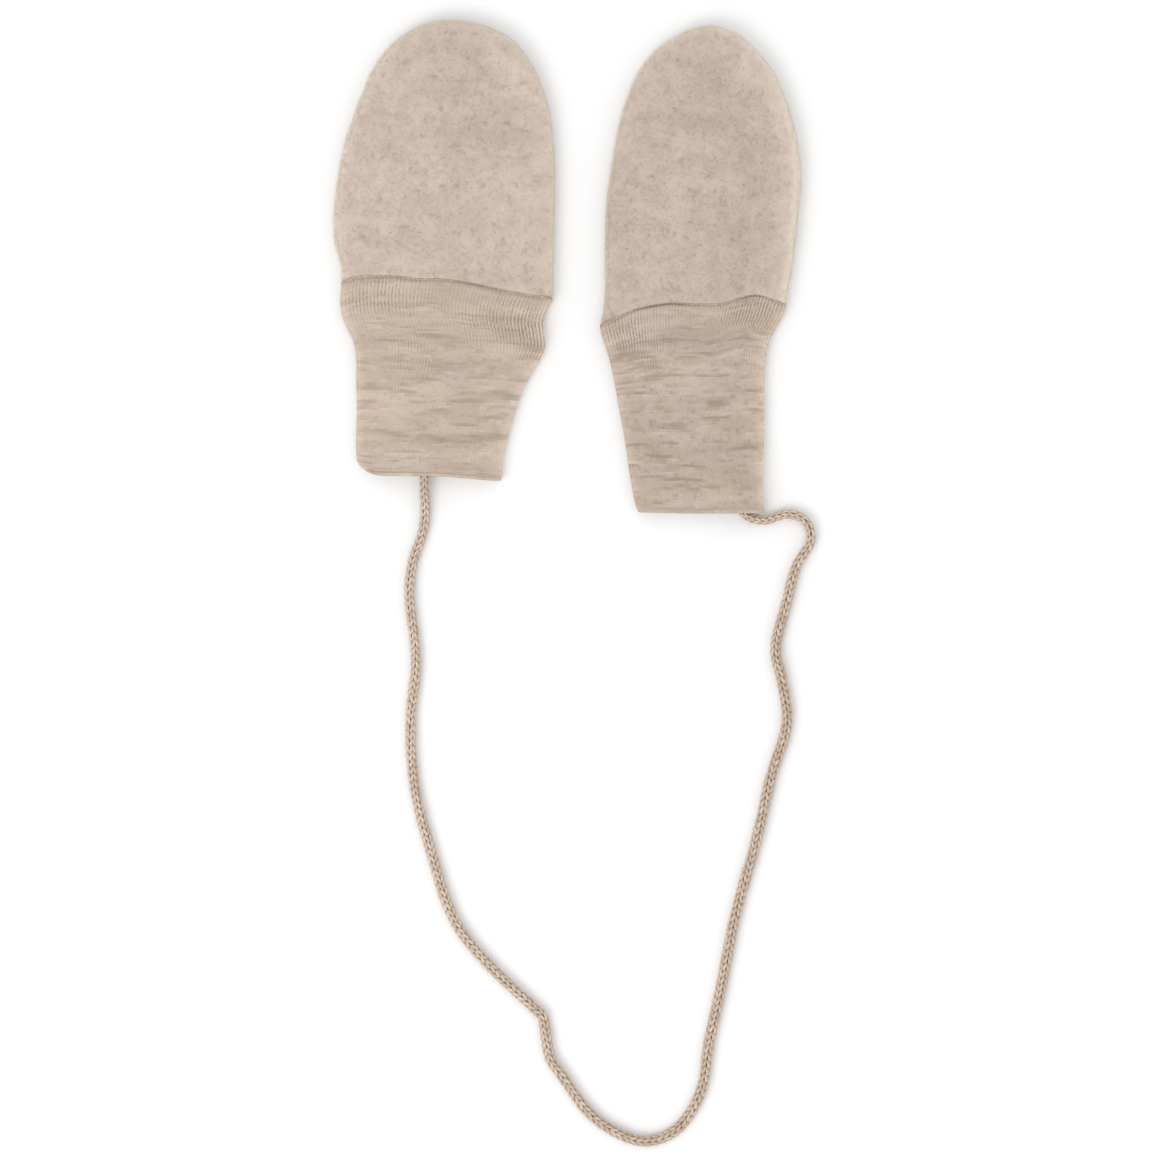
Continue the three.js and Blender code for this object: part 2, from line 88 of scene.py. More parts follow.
# How thick and how pale the cord is on its way: share of the way, thickness, paleness
CORD_CHANGES = [
    (0, 0.87, 0.15),
    (0.06, 0.90, 0.35),
    (0.15, 0.94, 0.35),
    (0.30, 0.97, 0.25),
    (0.45, 0.98, 0),
    (0.86, 0.97, -0.15),
    (0.94, 0.84, 0.35),
    (1, 0.80, 0.45),
]

# How the tube is twisted round itself: most turn, reach, start
CORD_TWISTS = [(1.1, 0.031, 0.4), (0.9, 0.083, 1.7)]
CORD_TWIST_LENGTH = 0.16

# Places on the cord's middle line: x, y, z
CORD_ROUTE = [
    (-0.0471, -0.0625, 0.0043),
    (-0.0471, -0.0685, 0.0043),
    (-0.0471, -0.0743, 0.0035),
    (-0.0468, -0.0810, 0.0023),
    (-0.0478, -0.0880, 0.0021),
    (-0.0508, -0.0968, 0.0021),
    (-0.0521, -0.1067, 0.0021),
    (-0.0499, -0.1304, 0.0021),
    (-0.0516, -0.1480, 0.0021),
    (-0.0513, -0.1630, 0.0021),
    (-0.0495, -0.1760, 0.0021),
    (-0.0460, -0.1892, 0.0021),
    (-0.0372, -0.2156, 0.0021),
    (-0.0273, -0.2288, 0.0021),
    (-0.0115, -0.2440, 0.0021),
    (-0.0082, -0.2473, 0.0021),
    (-0.0071, -0.2536, 0.0021),
    (-0.0055, -0.2614, 0.0021),
    (-0.0018, -0.2668, 0.0021),
    (0.0068, -0.2787, 0.0021),
    (0.0149, -0.2849, 0.0021),
    (0.0256, -0.2885, 0.0021),
    (0.0356, -0.2849, 0.0021),
    (0.0436, -0.2730, 0.0021),
    (0.0468, -0.2552, 0.0021),
    (0.0500, -0.2410, 0.0021),
    (0.0554, -0.2140, 0.0021),
    (0.0623, -0.1892, 0.0021),
    (0.0675, -0.1671, 0.0021),
    (0.0724, -0.1504, 0.0021),
    (0.0707, -0.1360, 0.0021),
    (0.0687, -0.1265, 0.0021),
    (0.0724, -0.1106, 0.0021),
    (0.0755, -0.0989, 0.0021),
    (0.0803, -0.0902, 0.0021),
    (0.0787, -0.0842, 0.0021),
    (0.0732, -0.0816, 0.0022),
    (0.0644, -0.0837, 0.0030),
    (0.0582, -0.0816, 0.0041),
    (0.0557, -0.0735, 0.0043),
]


def colour(red, green, blue):
    """A colour given in screen values from 0 to 255, as Blender counts it."""
    values = np.array([red, green, blue]) / 255
    return (*(((values + 0.055) / 1.055) ** 2.4), 1)


def unit(vectors):
    """The same directions, one metre long."""
    return vectors / np.linalg.norm(vectors, axis=-1, keepdims=True)


def route_line(points, spacing):
    """A smooth line through the points, as places the given spacing apart."""
    points = np.array(points)
    points = np.vstack([2 * points[0] - points[1], points, 2 * points[-1] - points[-2]])
    step = np.linspace(0, 1, 40, endpoint=False)[:, None]
    pieces = []
    for before, start, end, after in zip(points, points[1:], points[2:], points[3:]):
        first = math.sqrt(np.linalg.norm(start - before))
        middle = math.sqrt(np.linalg.norm(end - start))
        last = math.sqrt(np.linalg.norm(after - end))
        straight = (end - start) / middle
        leave = middle * ((start - before) / first - (end - before) / (first + middle) + straight)
        arrive = middle * (straight - (after - start) / (middle + last) + (after - end) / last)
        curve = start * (2 * step**3 - 3 * step**2 + 1) + end * (3 * step**2 - 2 * step**3)
        pieces.append(curve + leave * (step**3 - 2 * step**2 + step) + arrive * (step**3 - step**2))
    line = np.vstack([*pieces, points[-2:-1]])
    gone = np.concatenate([[0], np.cumsum(np.linalg.norm(np.diff(line, axis=0), axis=1))])
    places = np.linspace(0, gone[-1], round(gone[-1] / spacing) + 1)
    return np.stack([np.interp(places, gone, line[:, axis]) for axis in range(3)], axis=1)


def four_sided(*corners):
    """Faces with four corners, each given as a grid of point numbers."""
    return np.stack(corners, axis=-1).reshape(-1, 4).tolist()


def yarns(centres, sideways, upwards, sides):
    """Points and faces of closed round yarns; centres has a row of places for each yarn."""
    count, rings, _ = centres.shape
    turn = 2 * np.pi * np.arange(sides)[:, None] / sides
    round_it = np.cos(turn) * sideways[:, :, None] + np.sin(turn) * upwards[:, :, None]
    points = (centres[:, :, None] + round_it).reshape(-1, 3)
    number = np.arange(count * rings * sides).reshape(count, rings, sides)
    after = np.roll(number, -1, axis=2)
    skin = four_sided(number[:, :-1], after[:, :-1], after[:, 1:], number[:, 1:])
    return points, skin + number[:, 0, ::-1].tolist() + number[:, -1].tolist()


def piece(name, points, faces, material, **values):
    """A smooth mesh piece on the part's body, with a number at each point for each value."""
    mesh = bpy.data.meshes.new(name)
    mesh.from_pydata(points.tolist(), [], faces)
    mesh.shade_smooth()
    for key, numbers in values.items():
        mesh.attributes.new(key, "FLOAT", "POINT").data.foreach_set("value", np.ravel(numbers))
    mesh.materials.append(material)
    made = put(name, mesh)
    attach(made, "root")
    return made


def add_node(material, kind, inputs, **settings):
    """A new node, whose inputs are numbers, colours or the outputs of other nodes."""
    made = material.node_tree.nodes.new(kind)
    for key, value in settings.items():
        setattr(made, key, value)
    for key, value in inputs.items():
        if isinstance(value, bpy.types.NodeSocket):
            material.node_tree.links.new(value, made.inputs[key])
        else:
            made.inputs[key].default_value = value
    return made


def sum_of(material, kind, *numbers):
    """A sum or other plain operation on one, two or three numbers."""
    return add_node(material, "ShaderNodeMath", dict(enumerate(numbers)), operation=kind).outputs[0]


def times(material, first, second):
    """The product of two numbers."""
    return sum_of(material, "MULTIPLY", first, second)


def at_points(material, key):
    """The number that the mesh holds at each point under this key."""
    return add_node(material, "ShaderNodeAttribute", {}, attribute_name=key).outputs["Fac"]


def in_metres(material):
    """The place on the piece, in metres."""
    return add_node(material, "ShaderNodeTexCoord", {}).outputs["Object"]


def faded(material, value, start, end):
    """0 where the value is at its start, 1 at its end, and smooth between."""
    inputs = {"Value": value, "From Min": start, "From Max": end}
    kind = "ShaderNodeMapRange"
    return add_node(material, kind, inputs, interpolation_type="SMOOTHSTEP").outputs[0]


def blended(material, share, first, second):
    """The first colour where the share is 0, and the second where it is 1."""
    inputs = {0: share, 6: first, 7: second}
    return add_node(material, "ShaderNodeMix", inputs, data_type="RGBA").outputs[2]


def toned(material, shade, tone):
    """The colour made paler or darker by a factor."""
    inputs = {0: shade, "Scale": tone}
    return add_node(material, "ShaderNodeVectorMath", inputs, operation="SCALE").outputs[0]


def noise(material, place, scale, detail=2.0, roughness=0.5):
    """Smooth random spots; scale is their number in a metre."""
    inputs = {"Vector": place, "Scale": scale, "Detail": detail, "Roughness": roughness}
    return add_node(material, "ShaderNodeTexNoise", inputs).outputs["Fac"]


def wool(name, roughness, sheen):
    """A new material with a wool surface, and its shader."""
    material = bpy.data.materials.new(name)
    material.use_nodes = True
    shader = material.node_tree.nodes["Principled BSDF"]
    shader.inputs["Roughness"].default_value = roughness
    shader.inputs["Specular IOR Level"].default_value = 0.25
    shader.inputs["Sheen Weight"].default_value = sheen
    shader.inputs["Sheen Roughness"].default_value = 0.5
    return material, shader


def dressed(material, shader, shade, height, depth, strength):
    """The material with its colour, and its relief of the given depth in metres."""
    links = material.node_tree.links
    links.new(shade, shader.inputs["Base Color"])
    inputs = {"Height": height, "Distance": depth, "Strength": strength}
    relief = add_node(material, "ShaderNodeBump", inputs).outputs[0]
    links.new(relief, shader.inputs["Normal"])
    return material


def cord_material():
    """Wool yarn with darker flecks, light where it bulges out, with painted shade down in the gaps between
    the stitches.
    """
    material, shader = wool("cord_wool", roughness=0.9, sheen=0.15)
    place = in_metres(material)
    dark = colour(*YARN_DARK_AND_GAP_SHADE)
    outer = blended(material, at_points(material, "tint"), colour(*YARN_MIDDLE), colour(*YARN_LIGHT))
    fibres = faded(material, noise(material, place, 2600, 3), 0.35, 0.75)
    flecked = blended(material, times(material, fibres, 0.35), outer, dark)
    # Painted shade: the yarn turns dark brown where it tucks into the gaps, and the core is all in it.
    outside = faded(material, at_points(material, "out"), 0.1, 0.95)
    shade = blended(material, outside, dark, flecked)
    hairy = noise(material, place, 3400, 3)
    return dressed(material, shader, shade, hairy, depth=0.00012, strength=0.7)


cord_line = route_line(CORD_ROUTE, CORD_STEP)
cord_step = float(np.linalg.norm(cord_line[1] - cord_line[0]))
cord_length = cord_step * (len(cord_line) - 1)
cord_ahead = unit(np.gradient(cord_line, axis=0))
cord_side = unit(np.cross(cord_ahead, (0, 0, 1)))
cord_up = np.cross(cord_side, cord_ahead)


def on_cord(values, along):
    """The value of a row that follows the cord, at distances along it."""
    gone = np.arange(len(values)) * cord_step
    return np.stack([np.interp(along, gone, axis) for axis in values.T], axis=-1)


def cord_change(along, column):
    """A column of the table of the cord's changes, at distances along it."""
    table = np.array(CORD_CHANGES)
    return np.interp(along / cord_length, table[:, 0], table[:, column])


def cord_turn(along):
    """How far the knitted tube is twisted round itself at distances along it."""
    turns = [most * np.sin(along / reach + start) for most, reach, start in CORD_TWISTS]
    return sum(turns) + along / CORD_TWIST_LENGTH


def cord_stitches():
    """Every stitch is a pair of short legs that lean apart, tucked in at both ends."""
    random = np.random.default_rng(11)
    courses = int((cord_length - 2 * STITCH_LENGTH) / STITCH_LENGTH)
    course, column, leg = np.meshgrid(
        np.arange(courses), np.arange(CORD_COLUMNS), (-1, 1), indexing="ij"
    )
    course, column, leg = course.ravel()[:, None], column.ravel()[:, None], leg.ravel()[:, None]
    step = np.linspace(0, 1, 7)[None, :]
    jitter = random.normal(0, 1, (3, len(course), 1))
    bulge = np.sin(np.pi * (0.05 + 0.90 * step))
    start = STITCH_LENGTH * (1 + course + COLUMN_STAGGER * (column % 2))
    along = start + (step - 0.5) * STITCH_LENGTH * STITCH_REACH + jitter[0] * STITCH_SHIFT
    apart = LEG_START + LEG_SPREAD * step**1.2 + 0.02 * jitter[1]
    angle = 2 * np.pi * (column + leg * apart) / CORD_COLUMNS + cord_turn(along)
    full = cord_change(along, 1)
    height = (STITCH_BULGE + STITCH_UNEVEN * jitter[2]) * bulge**0.7
    radius = full * (CORD_CORE_RADIUS - STITCH_SUNK + height)
    side = on_cord(cord_side, along)
    up = on_cord(cord_up, along)
    outward = np.cos(angle)[..., None] * side + np.sin(angle)[..., None] * up
    around = np.cos(angle)[..., None] * up - np.sin(angle)[..., None] * side
    centres = on_cord(cord_line, along) + radius[..., None] * outward
    thick = (full * (YARN_TUCKED + (1 - YARN_TUCKED) * bulge))[..., None]
    points, faces = yarns(centres, around * YARN_WIDE * thick, outward * YARN_DEEP * thick, sides=5)
    tint = np.clip(0.5 + 0.3 * jitter[2] + cord_change(along, 2), 0, 1)
    # Painted shade at the legs' tucked-in ends: out is 1 where a leg bulges and less where it tucks in.
    out = 0.35 + 0.65 * bulge + 0 * course
    return points, faces, np.repeat(out.ravel(), 5), np.repeat(tint.ravel(), 5)


def cord_core():
    """The inside of the tube, which shows only between the stitches and is coloured all in painted shade.
    """
    centres = cord_line[None, ::2]
    full = cord_change(np.arange(len(cord_line)) * cord_step, 1)[:, None]
    sideways = (full * CORD_CORE_RADIUS * cord_side)[None, ::2]
    upwards = (full * CORD_CORE_RADIUS * cord_up)[None, ::2]
    return yarns(centres, sideways, upwards, sides=10)


stitch_points, stitch_faces, stitch_unshaded_share, stitch_tint = cord_stitches()
core_points, core_faces = cord_core()
core_faces = [[corner + len(stitch_points) for corner in face] for face in core_faces]
# The core gets no out value, so it is all in painted shade.
cord = piece(
    "knitted_cord",
    np.vstack([stitch_points, core_points]),
    stitch_faces + core_faces,
    cord_material(),
    out=np.concatenate([stitch_unshaded_share, np.zeros(len(core_points))]),
    tint=np.concatenate([stitch_tint, np.zeros(len(core_points))]),
)
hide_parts("cord")

# Hands
# Each hand is two panels of thick brushed wool fleece, cut alike and sewn together round their
# edge, then turned, so that only a crease shows. The back one lies flat on the table.
FLEECE_THICK = 0.003
NAP_DEPTH = 0.0006
SEAM_GAP = 0.00036
HAND_SEAM_HEIGHT = 0.0035
HAND_TOP = 0.0072
HAND_CROWN = 0.0009
HAND_CROWN_REACH = 0.018
HAND_ROUND = 0.0052
HAND_UNDER_ROUND = 0.0036
PANEL_GAP = 0.0003
FRONT_RIM = HAND_SEAM_HEIGHT + PANEL_GAP / 2
BACK_RIM = HAND_SEAM_HEIGHT - PANEL_GAP / 2
INSIDE_CLOSED = 0.7
INSIDE_CLOSED_REACH = 0.004
HAND_SEAM_ROLL = 0.0026
HAND_SEAM_SHARE = 0.88
HAND_SEAM_SUNK = 0.34
HAND_BOW_FADE = 6
HAND_ROW_CROWD = 1.25
TIP_REACH = 1e-6
HAND_TONE = {"left": 1.006, "right": 0.958}
# Painted light along the rim of the fleece: its share at the left and right sides, and how far in it
# reaches
HAND_PAINTED_RIM_LIGHT = {"left": (0.24, 0.50), "right": (0.15, 0.80)}
HAND_RIM_REACH = 0.0019
HAND_RIM_SOFT = 0.21
HAND_RIM_SOFT_REACH = 0.0060
HAND_RIM_THIN = (0.28, 0.42)
HAND_RIM_THIN_REACH = 0.0006
# The pale colour of the painted rim light
FLEECE_PAINTED_RIM_LIGHT = (240, 227, 211)
FLEECE_LIGHT = (201, 184, 171)
FLEECE_MIDDLE = (192, 174, 160)
FLEECE_FLECK = (146, 126, 110)
FLEECE_CURL = 0.0042
HAIR_SHARE = 0.18
PATCH_LEAST = 0.25
FLECK_SHARE = 0.34

# Soft marks of the fleece: spots in a metre, detail, roughness, where they start and are full
FLEECE_MARKS = {
    "clouds": (140, 4, 0.55, 0.36, 0.64),
    "patches": (210, 2, 0.5, 0.40, 0.66),
    "flecks": (400, 1, 0.5, 0.50, 0.78),
    "hairs": (1000, 1, 0.5, 0.52, 0.80),
    "specks": (330, 1, 0.5, 0.64, 0.84),
}

# The fleece's small unevenness: rise, size, seed
HAND_LUMPS = [(0.00016, 0.0085, 3), (0.00007, 0.0031, 4)]

# Places on the hand's two side edges, from the seam to the tip: left x, left y, right x, right y
HAND_EDGES = {
    "left": [
        (-0.0745, -0.0058, -0.0047, -0.0108),
        (-0.0750, 0.0009, -0.0044, -0.0017),
        (-0.0770, 0.0078, -0.0042, 0.0068),
        (-0.0772, 0.0171, -0.0041, 0.0171),
        (-0.0760, 0.0286, -0.0039, 0.0286),
        (-0.0737, 0.0405, -0.0044, 0.0412),
        (-0.0710, 0.0486, -0.0054, 0.0493),
        (-0.0681, 0.0564, -0.0072, 0.0566),
        (-0.0648, 0.0639, -0.0102, 0.0642),
        (-0.0602, 0.0709, -0.0143, 0.0710),
        (-0.0549, 0.0757, -0.0192, 0.0757),
        (-0.0493, 0.0791, -0.0258, 0.0791),
        (-0.0440, 0.0809, -0.0321, 0.0809),
    ],
    "right": [
        (0.0107, -0.0200, 0.0722, -0.0132),
        (0.0119, -0.0123, 0.0730, -0.0077),
        (0.0121, -0.0031, 0.0743, -0.0012),
        (0.0121, 0.0088, 0.0755, 0.0088),
        (0.0125, 0.0194, 0.0765, 0.0194),
        (0.0137, 0.0296, 0.0774, 0.0299),
        (0.0154, 0.0403, 0.0762, 0.0403),
        (0.0174, 0.0491, 0.0742, 0.0489),
        (0.0198, 0.0569, 0.0716, 0.0567),
        (0.0232, 0.0642, 0.0681, 0.0643),
        (0.0280, 0.0703, 0.0634, 0.0703),
        (0.0336, 0.0745, 0.0587, 0.0748),
        (0.0400, 0.0779, 0.0536, 0.0780),
    ],
}
HAND_TIP = {"left": (-0.0384, 0.0814), "right": (0.0471, 0.0794)}

# Height of the seam above the straight line between its ends: share of the way across, rise
SEAM_RISE = {
    "left": [
        (0, 0), (0.06, 0.0022), (0.17, 0.0034), (0.27, 0.0038), (0.37, 0.0034),
        (0.47, 0.0039), (0.62, 0.0032), (0.75, 0.0019), (0.87, 0.0010), (1, 0),
    ],
    "right": [
        (0, 0), (0.08, 0.0022), (0.18, 0.0043), (0.27, 0.0050), (0.38, 0.0052),
        (0.53, 0.0039), (0.66, 0.0033), (0.75, 0.0043), (0.83, 0.0048), (0.91, 0.0032),
        (1, 0),
    ],
}

# How deep the seam is sunk in its crease: share of the way across, depth from 0 to 1
SEAM_SUNK = {
    "left": [
        (0, 0), (0.18, 0.05), (0.26, 0.5), (0.34, 0.1), (0.48, 0.3),
        (0.62, 0.8), (0.80, 0.45), (0.90, 0.1), (1, 0),
    ],
    "right": [
        (0, 0), (0.10, 0.1), (0.20, 0.8), (0.38, 1), (0.50, 0.4),
        (0.62, 0.1), (0.72, 0.5), (0.82, 1), (0.90, 0.6), (1, 0),
    ],
}

# Paler and darker places of the fleece, some its melange tone and some painted light: the long strips along
# the side edges and near the tips pale the right-hand edges and darken the right hand's left edge. Columns:
# x, y, length, width, turn in degrees, share
HAND_TONES_AND_PAINTED_LIGHT = {
    "left": [
        (-0.034, 0.064, 0.016, 0.007, 90, -0.05),
        (-0.031, 0.046, 0.026, 0.009, 10, -0.06),
        (-0.063, 0.045, 0.012, 0.005, 0, -0.05),
        (-0.062, 0.030, 0.022, 0.007, 0, 0.06),
        (-0.019, 0.018, 0.022, 0.010, 0, 0.04),
        (-0.034, -0.003, 0.018, 0.003, 0, -0.06),
        (-0.005, 0.020, 0.070, 0.004, 90, 0.05),
        (-0.015, 0.0615, 0.036, 0.0055, 126, 0.09),
    ],
    "right": [
        (0.048, 0.062, 0.013, 0.006, 0, -0.08),
        (0.046, 0.046, 0.022, 0.004, -15, -0.07),
        (0.059, 0.036, 0.014, 0.005, 100, -0.08),
        (0.056, 0.008, 0.024, 0.007, 85, -0.08),
        (0.019, 0.022, 0.014, 0.005, 90, -0.04),
        (0.014, 0.010, 0.080, 0.006, 90, -0.045),
        (0.036, 0.036, 0.022, 0.008, 90, 0.03),
        (0.034, 0.014, 0.026, 0.010, 20, 0.03),
        (0.076, 0.022, 0.070, 0.005, 94, 0.18),
        (0.0645, 0.061, 0.040, 0.006, 124, 0.12),
    ],
}

# Soft ridges and troughs of the hands: x, y, length, width, turn in degrees, rise
HAND_FOLDS = {
    "left": [
        (-0.060, 0.022, 0.030, 0.009, 75, 0.00045),
        (-0.038, 0.008, 0.026, 0.008, 8, -0.0005),
        (-0.017, 0.030, 0.028, 0.008, 100, 0.0004),
        (-0.030, 0.056, 0.022, 0.009, 130, -0.0004),
        (-0.050, 0.060, 0.018, 0.008, 60, 0.00035),
        (-0.064, 0.004, 0.012, 0.0035, 82, -0.0004),
        (-0.013, 0.000, 0.012, 0.0032, 104, -0.00045),
    ],
    "right": [
        (0.026, 0.024, 0.032, 0.009, 95, 0.00045),
        (0.046, 0.004, 0.024, 0.008, -6, -0.0005),
        (0.063, 0.030, 0.030, 0.009, 80, 0.0004),
        (0.040, 0.052, 0.022, 0.008, 40, -0.0004),
        (0.058, 0.058, 0.018, 0.008, 120, 0.00035),
        (0.020, -0.006, 0.012, 0.0035, 98, -0.0004),
        (0.065, -0.004, 0.012, 0.0032, 74, -0.00045),
    ],
}


def table_curve(table, across):
    """A smooth curve through the rows of a table, at shares of the way across."""
    table = np.array(table, float)
    span = np.diff(table[:, 0])
    slope = np.diff(table[:, 1]) / span
    joint = np.concatenate([[slope[0]], (slope[1:] + slope[:-1]) / 2, [slope[-1]]])
    row = np.clip(np.searchsorted(table[:, 0], across) - 1, 0, len(span) - 1)
    step = (across - table[row, 0]) / span[row]
    start, end = table[row, 1], table[row + 1, 1]
    low = (2 * step**3 - 3 * step**2 + 1) * start + (3 * step**2 - 2 * step**3) * end
    leave = (step**3 - 2 * step**2 + step) * span[row] * joint[row]
    return low + leave + (step**3 - step**2) * span[row] * joint[row + 1]


def edge_points(points, share):
    """Places on the smooth curve through the points, at shares of the way along it."""
    points = np.array(points)
    last = len(points) - 1
    row = np.clip(np.floor(share * last).astype(int), 0, last - 1)
    step = (share * last - row)[..., None]
    before, start = points[np.maximum(row - 1, 0)], points[row]
    end, after = points[row + 1], points[np.minimum(row + 2, last)]
    leave, arrive = (end - before) / 2, (after - start) / 2
    cubic = (2 * start - 2 * end + leave + arrive) * step**3
    return cubic + (3 * end - 3 * start - 2 * leave - arrive) * step**2 + leave * step + start


def quarter_round(share):
    """Height of a quarter circle, from 0 at an edge to 1 where the rounding ends."""
    return np.sqrt(1 - (1 - np.clip(share, 0, 1)) ** 2)


def bell(distance, reach):
    """1 at the middle, and nearly 0 beyond twice the reach."""
    return np.exp(-((distance / reach) ** 2))


def fold_height(folds, x, y):
    """Height of all the soft ridges and troughs of a table at each place."""
    height = np.zeros_like(x)
    for fold_x, fold_y, long, wide, turn, rise in folds:
        turn = math.radians(turn)
        ahead = (x - fold_x) * math.cos(turn) + (y - fold_y) * math.sin(turn)
        aside = (y - fold_y) * math.cos(turn) - (x - fold_x) * math.sin(turn)
        height += rise * bell(ahead, long / 2) * bell(aside, wide)
    return height


def lumps(x, y, size, seed):
    """Smooth random heights from -1 to 1, with lumps of about the given size."""
    grid = np.random.default_rng(seed).uniform(-1, 1, (64, 64))
    column, row = np.floor(x / size).astype(int), np.floor(y / size).astype(int)
    right, up = x / size - column, y / size - row
    right, up = right**2 * (3 - 2 * right), up**2 * (3 - 2 * up)
    beside, above = (column + 1) % 64, (row + 1) % 64
    low = grid[row % 64, column % 64] * (1 - right) + grid[row % 64, beside] * right
    high = grid[above, column % 64] * (1 - right) + grid[above, beside] * right
    return low * (1 - up) + high * up


def spread_columns(count):
    """Shares of the way across a piece, closer together towards its two edges."""
    return 0.5 - 0.5 * np.cos(np.pi * np.arange(count + 1) / count)


def hand_outline(side):
    """The hand's edge, up the left, over the tip and down the right."""
    rows = HAND_EDGES[side]
    return [row[:2] for row in rows] + [HAND_TIP[side]] + [row[2:] for row in rows[::-1]]


def inset_edge(outline, share, inset):
    """Places on the edge, moved inwards."""
    nudge = 0.0001
    before = edge_points(outline, np.maximum(share - nudge, 0))
    after = edge_points(outline, np.minimum(share + nudge, 1))
    ahead = unit(after - before)
    return edge_points(outline, share) + inset * np.stack([ahead[..., 1], -ahead[..., 0]], axis=-1)


def seam_line(side, x):
    """How far up a mitten its hand and cuff meet, at places across it."""
    left_x, left_y, right_x, right_y = HAND_EDGES[side][0]
    across = np.clip((x - left_x) / (right_x - left_x), 0, 1)
    return left_y + (right_y - left_y) * across + table_curve(SEAM_RISE[side], across)


def seam_sunk(side, x):
    """How deep the seam is sunk at places across the mitten."""
    left_x, right_x = HAND_EDGES[side][0][::2]
    return table_curve(SEAM_SUNK[side], np.clip((x - left_x) / (right_x - left_x), 0, 1))


def distance_to_edge(side, x, y):
    """Shortest distance from each place on a hand to the edge of its cloth."""
    line = edge_points(hand_outline(side), np.linspace(0, 1, 400))
    start, step = line[:-1], np.diff(line, axis=0)
    to_x, to_y = x.ravel()[:, None] - start[:, 0], y.ravel()[:, None] - start[:, 1]
    share = np.clip((to_x * step[:, 0] + to_y * step[:, 1]) / (step**2).sum(1), 0, 1)
    away = np.hypot(to_x - share * step[:, 0], to_y - share * step[:, 1]).min(1)
    return np.maximum(away.reshape(x.shape) - NAP_DEPTH, 0)


def hand_grid(side, columns, rows, inset):
    """Places on a layer of a hand panel, with their distances from its edge and the seam."""
    outline = hand_outline(side)
    along = (np.arange(rows + 1)[:, None] / rows) ** HAND_ROW_CROWD
    across = spread_columns(columns)[None, :, None]
    left = inset_edge(outline, along / 2, NAP_DEPTH + inset)
    right = inset_edge(outline, 1 - along / 2, NAP_DEPTH + inset)
    places = left * (1 - across) + right * across
    start = places[0]
    lift = seam_line(side, start[:, 0]) + SEAM_GAP / 2 - start[:, 1]
    x = places[..., 0]
    y = places[..., 1] + lift * (1 - along) ** HAND_BOW_FADE
    from_seam = np.maximum(y - seam_line(side, x), 0)
    from_edge = distance_to_edge(side, x, y)
    from_edge[:, [0, -1]] = inset
    from_edge[-1] = inset
    return x, y, from_edge, from_seam


def hand_top(side, x, y, from_edge, from_seam):
    """Height of the front panel's outer face."""
    shoulder = quarter_round(from_edge / HAND_ROUND)
    crown = HAND_CROWN * (1 - bell(from_edge, HAND_CROWN_REACH))
    uneven = sum(rise * lumps(x, y, size, seed) for rise, size, seed in HAND_LUMPS)
    folds = fold_height(HAND_FOLDS[side], x, y)
    height = (HAND_TOP - FRONT_RIM + crown + folds + uneven) * shoulder
    share = HAND_SEAM_SHARE - HAND_SEAM_SUNK * seam_sunk(side, x)
    roll = share + (1 - share) * quarter_round(from_seam / HAND_SEAM_ROLL)
    return FRONT_RIM + height * roll


def hand_tone_and_painted_light(side, x, y, from_edge):
    """How dark the fleece is, with painted light along its rim where the light would come through the nap,
    stronger on the right-hand edges.
    """
    # The tone holds the fleece's melange patches together with painted light and shade from the table
    # below.
    tone = HAND_TONE[side] * (1 + fold_height(HAND_TONES_AND_PAINTED_LIGHT[side], x, y))
    outline_x = np.array(hand_outline(side))[:, 0]
    sides_x = (outline_x.min(), outline_x.max())
    soft = HAND_RIM_SOFT * bell(from_edge, HAND_RIM_SOFT_REACH)
    rim = np.interp(x, sides_x, HAND_PAINTED_RIM_LIGHT[side]) * (bell(from_edge, HAND_RIM_REACH) + soft)
    thin = np.interp(x, sides_x, HAND_RIM_THIN) * bell(from_edge, HAND_RIM_THIN_REACH)
    return {"tone": tone, "rim": rim + thin}


def front_inner(side, x, y, from_edge, from_seam):
    """Height of the front panel's inner face, just above the back panel."""
    inside = quarter_round((from_edge - FLEECE_THICK) / HAND_ROUND)
    crown = HAND_CROWN * (1 - bell(from_edge, HAND_CROWN_REACH))
    folds = fold_height(HAND_FOLDS[side], x, y)
    close = 1 - INSIDE_CLOSED * bell(from_seam, INSIDE_CLOSED_REACH)
    return FRONT_RIM + (HAND_TOP - FLEECE_THICK - FRONT_RIM + crown + folds) * inside * close


def back_inner(side, x, y, from_edge, from_seam):
    """Height of the back panel's inner face."""
    inside = quarter_round((from_edge - FLEECE_THICK) / HAND_ROUND)
    return BACK_RIM - (BACK_RIM - FLEECE_THICK) * inside


def hand_under(side, x, y, from_edge, from_seam):
    """Height of the face on the table, flat apart from its rounded edge."""
    return BACK_RIM * (1 - quarter_round(from_edge / HAND_UNDER_ROUND))


def wall(upper, lower):
    """Points and faces of a closed wall between two layers of the same rows and columns."""
    rows, columns, _ = upper.shape
    top = np.arange(rows * columns).reshape(rows, columns)
    low = top + rows * columns
    faces = four_sided(top[:-1, :-1], top[:-1, 1:], top[1:, 1:], top[1:, :-1])
    faces += four_sided(low[1:, :-1], low[1:, 1:], low[:-1, 1:], low[:-1, :-1])
    faces += four_sided(top[:-1, 0], top[1:, 0], low[1:, 0], low[:-1, 0])
    faces += four_sided(low[:-1, -1], low[1:, -1], top[1:, -1], top[:-1, -1])
    faces += four_sided(low[0, :-1], low[0, 1:], top[0, 1:], top[0, :-1])
    return np.vstack([upper.reshape(-1, 3), lower.reshape(-1, 3)]), faces


def close_tip(made):
    """Joins the points that meet at the tip of a hand."""
    bm = bmesh.new()
    bm.from_mesh(made.data)
    bmesh.ops.remove_doubles(bm, verts=bm.verts, dist=TIP_REACH)
    bm.to_mesh(made.data)
    bm.free()


